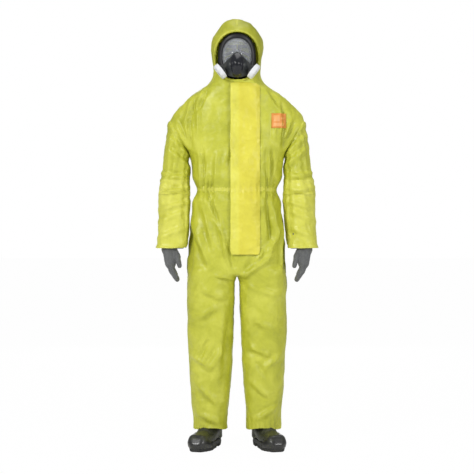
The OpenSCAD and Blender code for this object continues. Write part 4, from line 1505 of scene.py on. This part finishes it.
# ------------------------------------------------------------------ materials
class Shader:
    """A material under construction: adds nodes and links them by name."""

    def __init__(self, name):
        self.mat = bpy.data.materials.new(name)
        self.mat.use_nodes = True
        self.tree = self.mat.node_tree
        self.bsdf = self.tree.nodes["Principled BSDF"]
        self.out = self.tree.nodes["Material Output"]
        self.place = self.add("TexCoord").outputs["Object"]

    def add(self, kind, **inputs):
        node = self.tree.nodes.new("ShaderNode" + kind)
        for key, value in inputs.items():
            self.feed(node.inputs[key.replace("_", " ")], value)
        return node

    def feed(self, socket, value):
        if isinstance(value, bpy.types.NodeSocket):
            self.tree.links.new(value, socket)
        elif isinstance(value, (tuple, list)) and len(value) == 3 \
                and socket.type == "RGBA":
            socket.default_value = (*value, 1)
        else:
            socket.default_value = value

    def set(self, **inputs):
        for key, value in inputs.items():
            self.feed(self.bsdf.inputs[key.replace("_", " ")], value)
        return self

    def stretch(self, x, y, z):
        return self.add("Mapping", Vector=self.place, Scale=(x, y, z)).outputs[0]

    def noise(self, scale, detail=4.0, rough=0.55, warp=0.0, vector=None):
        node = self.add("TexNoise", Scale=scale, Detail=detail, Roughness=rough,
                        Distortion=warp, Vector=vector or self.place)
        return node.outputs[0]

    def ramp(self, value, *stops):
        """Colour ramp; each stop is (position, colour or grey)."""
        node = self.add("ValToRGB", Fac=value)
        ramp = node.color_ramp
        while len(ramp.elements) < len(stops):
            ramp.elements.new(0.5)
        for element, (at, colour) in zip(ramp.elements, stops):
            element.position = at
            if not isinstance(colour, (tuple, list)):
                colour = (colour, colour, colour)
            element.color = (*colour, 1)
        return node.outputs[0]

    def mix(self, share, a, b, mode="MIX"):
        node = self.tree.nodes.new("ShaderNodeMix")
        node.data_type = "RGBA"
        node.blend_type = mode
        self.feed(node.inputs[0], share)
        self.feed(node.inputs[6], a)
        self.feed(node.inputs[7], b)
        return node.outputs[2]

    def math(self, op, a, b):
        node = self.tree.nodes.new("ShaderNodeMath")
        node.operation = op
        self.feed(node.inputs[0], a)
        self.feed(node.inputs[1], b)
        return node.outputs[0]

    def bump(self, *layers):
        """Stacks (height, strength, distance) layers onto the normal."""
        last = None
        for height, strength, distance in layers:
            node = self.add("Bump", Strength=strength, Distance=distance,
                            Height=height)
            if last:
                self.feed(node.inputs["Normal"], last)
            last = node.outputs[0]
        self.feed(self.bsdf.inputs["Normal"], last)
        return self

    def glow_through(self, colour, share):
        """Lets some light through thin sheet."""
        thin = self.add("BsdfTranslucent", Color=colour)
        mixer = self.add("MixShader", Fac=share)
        self.feed(mixer.inputs[1], self.bsdf.outputs[0])
        self.feed(mixer.inputs[2], thin.outputs[0])
        self.feed(self.out.inputs[0], mixer.outputs[0])
        return self


def film(name, low, mid, high, rough=0.45, through=0.10, warm=None):
    """Laminated film fabric: satin face, crushed facets, faint mottling."""
    s = Shader(name)
    patches = s.noise(9, 4, 0.6, 0.6)
    tint = s.ramp(patches, (0.30, low), (0.50, mid), (0.72, high))
    if warm:
        across = s.add("SeparateXYZ", Vector=s.place).outputs[0]
        share = s.add("MapRange", Value=across, From_Min=FLAP_LO.x + 0.030,
                      From_Max=FLAP_LO.x + 0.042).outputs[0]
        tint = s.mix(share, tint, s.ramp(patches, (0.30, warm[0]), (0.70, warm[1])))
    fine = s.noise(160, 5, 0.6)
    tint = s.mix(0.12, tint, s.ramp(fine, (0.3, low), (0.7, high)), "SOFT_LIGHT")
    warp = s.add("VectorMath").outputs[0]
    node = warp.node
    node.operation = "MULTIPLY_ADD"
    s.feed(node.inputs[0], s.add("TexNoise", Scale=17.0, Detail=3.0, Vector=s.place).outputs[1])
    node.inputs[1].default_value = (0.045, 0.045, 0.045)
    s.feed(node.inputs[2], s.place)
    big = s.add("TexVoronoi", Scale=26.0, Vector=warp).outputs[0]
    small = s.add("TexVoronoi", Scale=55.0, Vector=warp).outputs[0]
    crinkle = s.noise(95, 6, 0.62, 0.8)
    weave = s.add("TexVoronoi", Scale=900.0, Vector=s.place).outputs[0]
    gloss = s.math("ADD", s.math("MULTIPLY", s.noise(30, 4), 0.30), rough - 0.15)
    s.set(Base_Color=tint, Roughness=gloss, Specular_IOR_Level=0.5,
          Coat_Weight=0.05, Coat_Roughness=0.30)
    s.bump((big, 0.6, 0.0050), (small, 0.5, 0.0018), (crinkle, 0.4, 0.0012),
           (fine, 0.15, 0.0006), (weave, 0.10, 0.0002))
    if through:
        s.glow_through(tint, through)
    return s.mat


def plain(name, low, high, rough, scale=40, bumps=((60, 0.25, 0.0008),), metal=0.0, coat=0.0,
          wear=0.06, shine=0.5):
    """Hard or rubber surface with mottled colour, uneven gloss and fine relief."""
    s = Shader(name)
    tint = s.ramp(s.noise(scale, 5, 0.6), (0.3, low), (0.7, high))
    dust = s.ramp(s.noise(scale * 0.3, 6, 0.65, 0.5), (0.52, 0.0), (0.78, wear))
    pale = tuple(min(c * 1.6 + 0.05, 1) for c in high)
    tint = s.mix(dust, tint, pale)
    gloss = s.math("ADD", s.math("MULTIPLY", s.noise(scale * 2, 4), 0.2), rough - 0.1)
    s.set(Base_Color=tint, Roughness=gloss, Metallic=metal, Coat_Weight=coat,
          Coat_Roughness=0.12, Specular_IOR_Level=shine)
    s.bump(*[(s.noise(size, 4, 0.6), strength, depth) for size, strength, depth in bumps])
    return s.mat


def knit(name, low, high):
    """Fine knit: rows of small loops along two directions."""
    s = Shader(name)
    rows = s.add("TexWave", Scale=310.0, Distortion=1.2, Detail=2.0,
                 Vector=s.stretch(1, 1, 1)).outputs["Fac"]
    ribs = s.add("TexWave", Scale=260.0, Distortion=0.8, Detail=1.0,
                 Vector=s.stretch(0.05, 0.05, 1.4)).outputs["Fac"]
    loops = s.math("MULTIPLY", rows, ribs)
    tint = s.ramp(s.noise(50, 5, 0.6), (0.3, low), (0.7, high))
    # Where the loops dip, the colour is mixed towards a darker tone: painted shade in the gaps
    # between the loops.
    tint = s.mix(s.ramp(loops, (0.0, 0.35), (0.5, 0.0)), tint, tuple(c * 0.5 for c in low))
    s.set(Base_Color=tint, Roughness=0.82, Sheen_Weight=0.25, Specular_IOR_Level=0.25)
    s.bump((loops, 0.5, 0.0008), (s.noise(260, 3), 0.3, 0.0005))
    return s.mat


def visor_material():
    s = Shader("visor_lens")
    smear = s.noise(14, 4, 0.6, 0.4)
    s.set(Base_Color=(0.93, 0.95, 0.97), Transmission_Weight=0.97, IOR=1.16,
          Roughness=s.ramp(smear, (0.3, 0.02), (0.8, 0.08)), Specular_IOR_Level=0.35)
    s.bump((smear, 0.03, 0.001))
    haze = s.add("BsdfDiffuse", Color=(0.72, 0.75, 0.78))
    mixer = s.add("MixShader", Fac=s.ramp(smear, (0.3, 0.14), (0.8, 0.24)))
    s.feed(mixer.inputs[1], s.bsdf.outputs[0])
    s.feed(mixer.inputs[2], haze.outputs[0])
    s.feed(s.out.inputs[0], mixer.outputs[0])
    return s.mat


def label_material():
    """Orange patch with a few plain pale bars, a block and a line."""
    s = Shader("label_print")
    lo, hi = lo_hi("chest_label")
    split_axes = s.add("SeparateXYZ", Vector=s.place)
    u = s.math("DIVIDE", s.math("SUBTRACT", split_axes.outputs[0], lo.x), hi.x - lo.x)
    v = s.math("DIVIDE", s.math("SUBTRACT", split_axes.outputs[2], lo.z), hi.z - lo.z)

    def inside(value, low, high):
        return s.math("MULTIPLY", s.math("GREATER_THAN", value, low),
                      s.math("LESS_THAN", value, high))

    base = s.ramp(s.noise(60, 4), (0.3, (0.62, 0.215, 0.030)), (0.7, (0.72, 0.275, 0.045)))
    bars = s.math("MULTIPLY", inside(u, 0.14, 0.86), inside(v, 0.14, 0.34))
    block = s.math("MULTIPLY", inside(u, 0.14, 0.56), inside(v, 0.46, 0.86))
    line = s.math("MULTIPLY", inside(u, 0.64, 0.86), inside(v, 0.60, 0.72))
    marks = s.math("MAXIMUM", s.math("MAXIMUM", bars, block), line)
    tint = s.mix(s.math("MULTIPLY", marks, 0.42), base, (0.84, 0.52, 0.22))
    s.set(Base_Color=tint, Roughness=0.5)
    s.bump((s.noise(420, 3), 0.2, 0.0004), (s.noise(35, 4), 0.3, 0.0012))
    return s.mat


LIME_FILM = film("lime_film", (0.42, 0.44, 0.030), (0.52, 0.535, 0.048), (0.63, 0.64, 0.085))
YELLOW_FILM = film("yellow_film", (0.63, 0.60, 0.070), (0.73, 0.70, 0.095), (0.80, 0.77, 0.14),
                   warm=((0.64, 0.575, 0.050), (0.76, 0.70, 0.080)))
PALE_FILM = film("pale_film", (0.56, 0.56, 0.060), (0.64, 0.64, 0.090), (0.73, 0.72, 0.14))
HOOD_FILM = film("hood_film", (0.42, 0.44, 0.030), (0.52, 0.535, 0.048), (0.63, 0.64, 0.085),
                 through=0.32)
STRIP_WHITE = plain("adhesive_strip", (0.78, 0.76, 0.62), (0.86, 0.84, 0.70), 0.35)
TAPE_CLOTH = knit("zip_tape_cloth", (0.50, 0.49, 0.07), (0.60, 0.59, 0.10))
GLOVE_KNIT = knit("glove_knit", (0.105, 0.108, 0.108), (0.150, 0.155, 0.155))
RUBBER = plain("mask_rubber", (0.010, 0.010, 0.012), (0.020, 0.020, 0.022), 0.42, wear=0.02,
               coat=0.08, shine=0.3)
HOUSING = plain("mask_plastic", (0.020, 0.023, 0.024), (0.036, 0.040, 0.042), 0.34,
                bumps=((220, 0.15, 0.0003),), coat=0.12, wear=0.01, shine=0.3)
COVER = plain("mask_cover", (0.007, 0.008, 0.011), (0.013, 0.014, 0.018), 0.20,
              bumps=((220, 0.10, 0.0002),), coat=0.3, wear=0.01, shine=0.25)
CUP_RUBBER = plain("cup_rubber", (0.10, 0.10, 0.105), (0.15, 0.15, 0.155), 0.6)
SILICONE = plain("valve_silicone", (0.36, 0.36, 0.34), (0.46, 0.46, 0.43), 0.5)
FILTER_SHELL = plain("filter_shell", (0.62, 0.63, 0.65), (0.72, 0.73, 0.75), 0.42, wear=0.02)
FILTER_MEDIA = plain("filter_media", (0.78, 0.77, 0.70), (0.90, 0.89, 0.84), 0.9,
                     bumps=((300, 0.6, 0.0008), (90, 0.4, 0.001)))
ZIP_METAL = plain("zip_metal", (0.42, 0.42, 0.40), (0.60, 0.60, 0.57), 0.34, metal=0.9)
ZIP_COIL = plain("zip_coil", (0.56, 0.54, 0.09), (0.66, 0.63, 0.13), 0.4)
LEATHER = plain("boot_leather", (0.017, 0.019, 0.010), (0.038, 0.041, 0.022), 0.46, scale=26,
                bumps=((150, 0.35, 0.0007), (420, 0.25, 0.0003)), coat=0.12)
BUMPER = plain("boot_bumper", (0.014, 0.014, 0.013), (0.026, 0.026, 0.024), 0.32, coat=0.2)
SOLE = plain("boot_sole", (0.014, 0.014, 0.013), (0.028, 0.028, 0.025), 0.62, wear=0.12)


def paint(ob, mat):
    ob.data.materials.clear()
    ob.data.materials.append(mat)


def paint_node(node, mat):
    me = frame["nodes"][node].data
    for k in range(max(len(me.materials), 1)):
        if k < len(me.materials):
            me.materials[k] = mat
        else:
            me.materials.append(mat)


# ------------------------------------------------------------ dressing the parts
seam_tapes()
hood_trims()
flap_cloth, adhesive = storm_flap()
label = chest_label()
mask = respirator()
for ob in list(parts.values()) + LIME:
    paint(ob, LIME_FILM)
paint(parts["coverall_hood"], HOOD_FILM)
for name, side in SIDES.items():
    paint(parts[f"sleeve_end_{name}"], PALE_FILM)
    for key in (f"sleeve_tape_{name}", f"cuff_hem_{name}"):
        paint(pieces[key], PALE_FILM)
    # The wrist cuff is a real second cuff, but its dark glove-knit colour is partly painted
    # shade inside the sleeve's open end.
    paint(inner_cuff(name, side), GLOVE_KNIT)
    paint(glove(name, side), GLOVE_KNIT)
    upper, cap, sole, welt = boot(name, side)
    paint(upper, LEATHER)
    paint(cap, BUMPER)
    paint(sole, SOLE)
    paint(welt, SOLE)
paint(casing, PALE_FILM)
paint(flap_cloth, YELLOW_FILM)
paint(adhesive, STRIP_WHITE)
paint(label, label_material())
paint(mask["seal"], RUBBER)
paint(mask["rim"], RUBBER)
paint(mask["lens"], visor_material())
paint(mask["shell"], HOUSING)
paint(mask["cover"], COVER)
paint(mask["cup"], CUP_RUBBER)
CAD_LOOKS = {
    "zip_guard": LIME_FILM, "zip_tape_right": TAPE_CLOTH, "zip_tape_left": TAPE_CLOTH,
    "zip_chain": ZIP_COIL, "zip_stops": ZIP_METAL, "zip_slider": ZIP_METAL,
    "zip_pull": ZIP_METAL, "exhalation_flap": SILICONE, "inhalation_flap_right": SILICONE,
    "inhalation_flap_left": SILICONE, "filter_ports": HOUSING, "filter_gaskets": RUBBER,
    "filter_shell_right": FILTER_SHELL, "filter_shell_left": FILTER_SHELL,
    "filter_media_right": FILTER_MEDIA, "filter_media_left": FILTER_MEDIA,
    "harness_buckles": HOUSING, "head_harness": RUBBER,
}
for node, mat in CAD_LOOKS.items():
    paint_node(node, mat)


# ------------------------------------------------------------- floor and lights
def studio():
    world = bpy.data.worlds.new("world")
    bpy.context.scene.world = world
    world.use_nodes = True
    nodes, links = world.node_tree.nodes, world.node_tree.links
    back = nodes["Background"]
    back.inputs[0].default_value = (1, 1, 1, 1)
    seen = nodes.new("ShaderNodeLightPath")
    level = nodes.new("ShaderNodeMapRange")
    links.new(seen.outputs["Is Camera Ray"], level.inputs[0])
    level.inputs[3].default_value = 0.36
    level.inputs[4].default_value = 1.0
    links.new(level.outputs[0], back.inputs[1])
    floor = new_object("floor", [(-9, -9, 0), (9, -9, 0), (9, 30, 0), (-9, 30, 0)],
                       [(0, 1, 2, 3)])
    s = Shader("floor_white")
    s.set(Base_Color=(0.9, 0.9, 0.9), Roughness=0.9)
    glow = s.add("Emission", Color=(1, 1, 1), Strength=1.0)
    mixer = s.add("MixShader", Fac=0.985)
    s.feed(mixer.inputs[1], s.bsdf.outputs[0])
    s.feed(mixer.inputs[2], glow.outputs[0])
    ray = s.add("LightPath").outputs["Is Camera Ray"]
    pick = s.add("MixShader", Fac=ray)
    s.feed(pick.inputs[1], s.bsdf.outputs[0])
    s.feed(pick.inputs[2], mixer.outputs[0])
    s.feed(s.out.inputs[0], pick.outputs[0])
    paint(floor, s.mat)
    for name, place, energy, size in (("key", (-2.8, -3.6, 3.2), 144, 1.2),
                                      ("fill", (3.0, -3.6, 2.4), 79, 1.4),
                                      ("top", (0.4, 0.2, 4.4), 38, 2.0),
                                      ("back", (0.0, 5.0, 1.8), 60, 3.0)):
        lamp = bpy.data.lights.new(name, "AREA")
        lamp.energy = energy
        lamp.size = size
        ob = bpy.data.objects.new(name, lamp)
        ob.location = place
        aim = Vector((0, 0, 0.95)) - Vector(place)
        ob.rotation_euler = aim.to_track_quat("-Z", "Y").to_euler()
        bpy.context.scene.collection.objects.link(ob)
    camera = bpy.data.cameras.new("camera")
    camera.lens = 117.9
    ob = bpy.data.objects.new("camera", camera)
    ob.location = (0, -6.69, 1.0)
    aim = Vector((0, 0, 0.908))
    ob.rotation_euler = (aim - ob.location).to_track_quat("-Z", "Y").to_euler()
    bpy.context.scene.collection.objects.link(ob)
    bpy.context.scene.camera = ob


bpy.context.scene.view_settings.view_transform = "Standard"
studio()
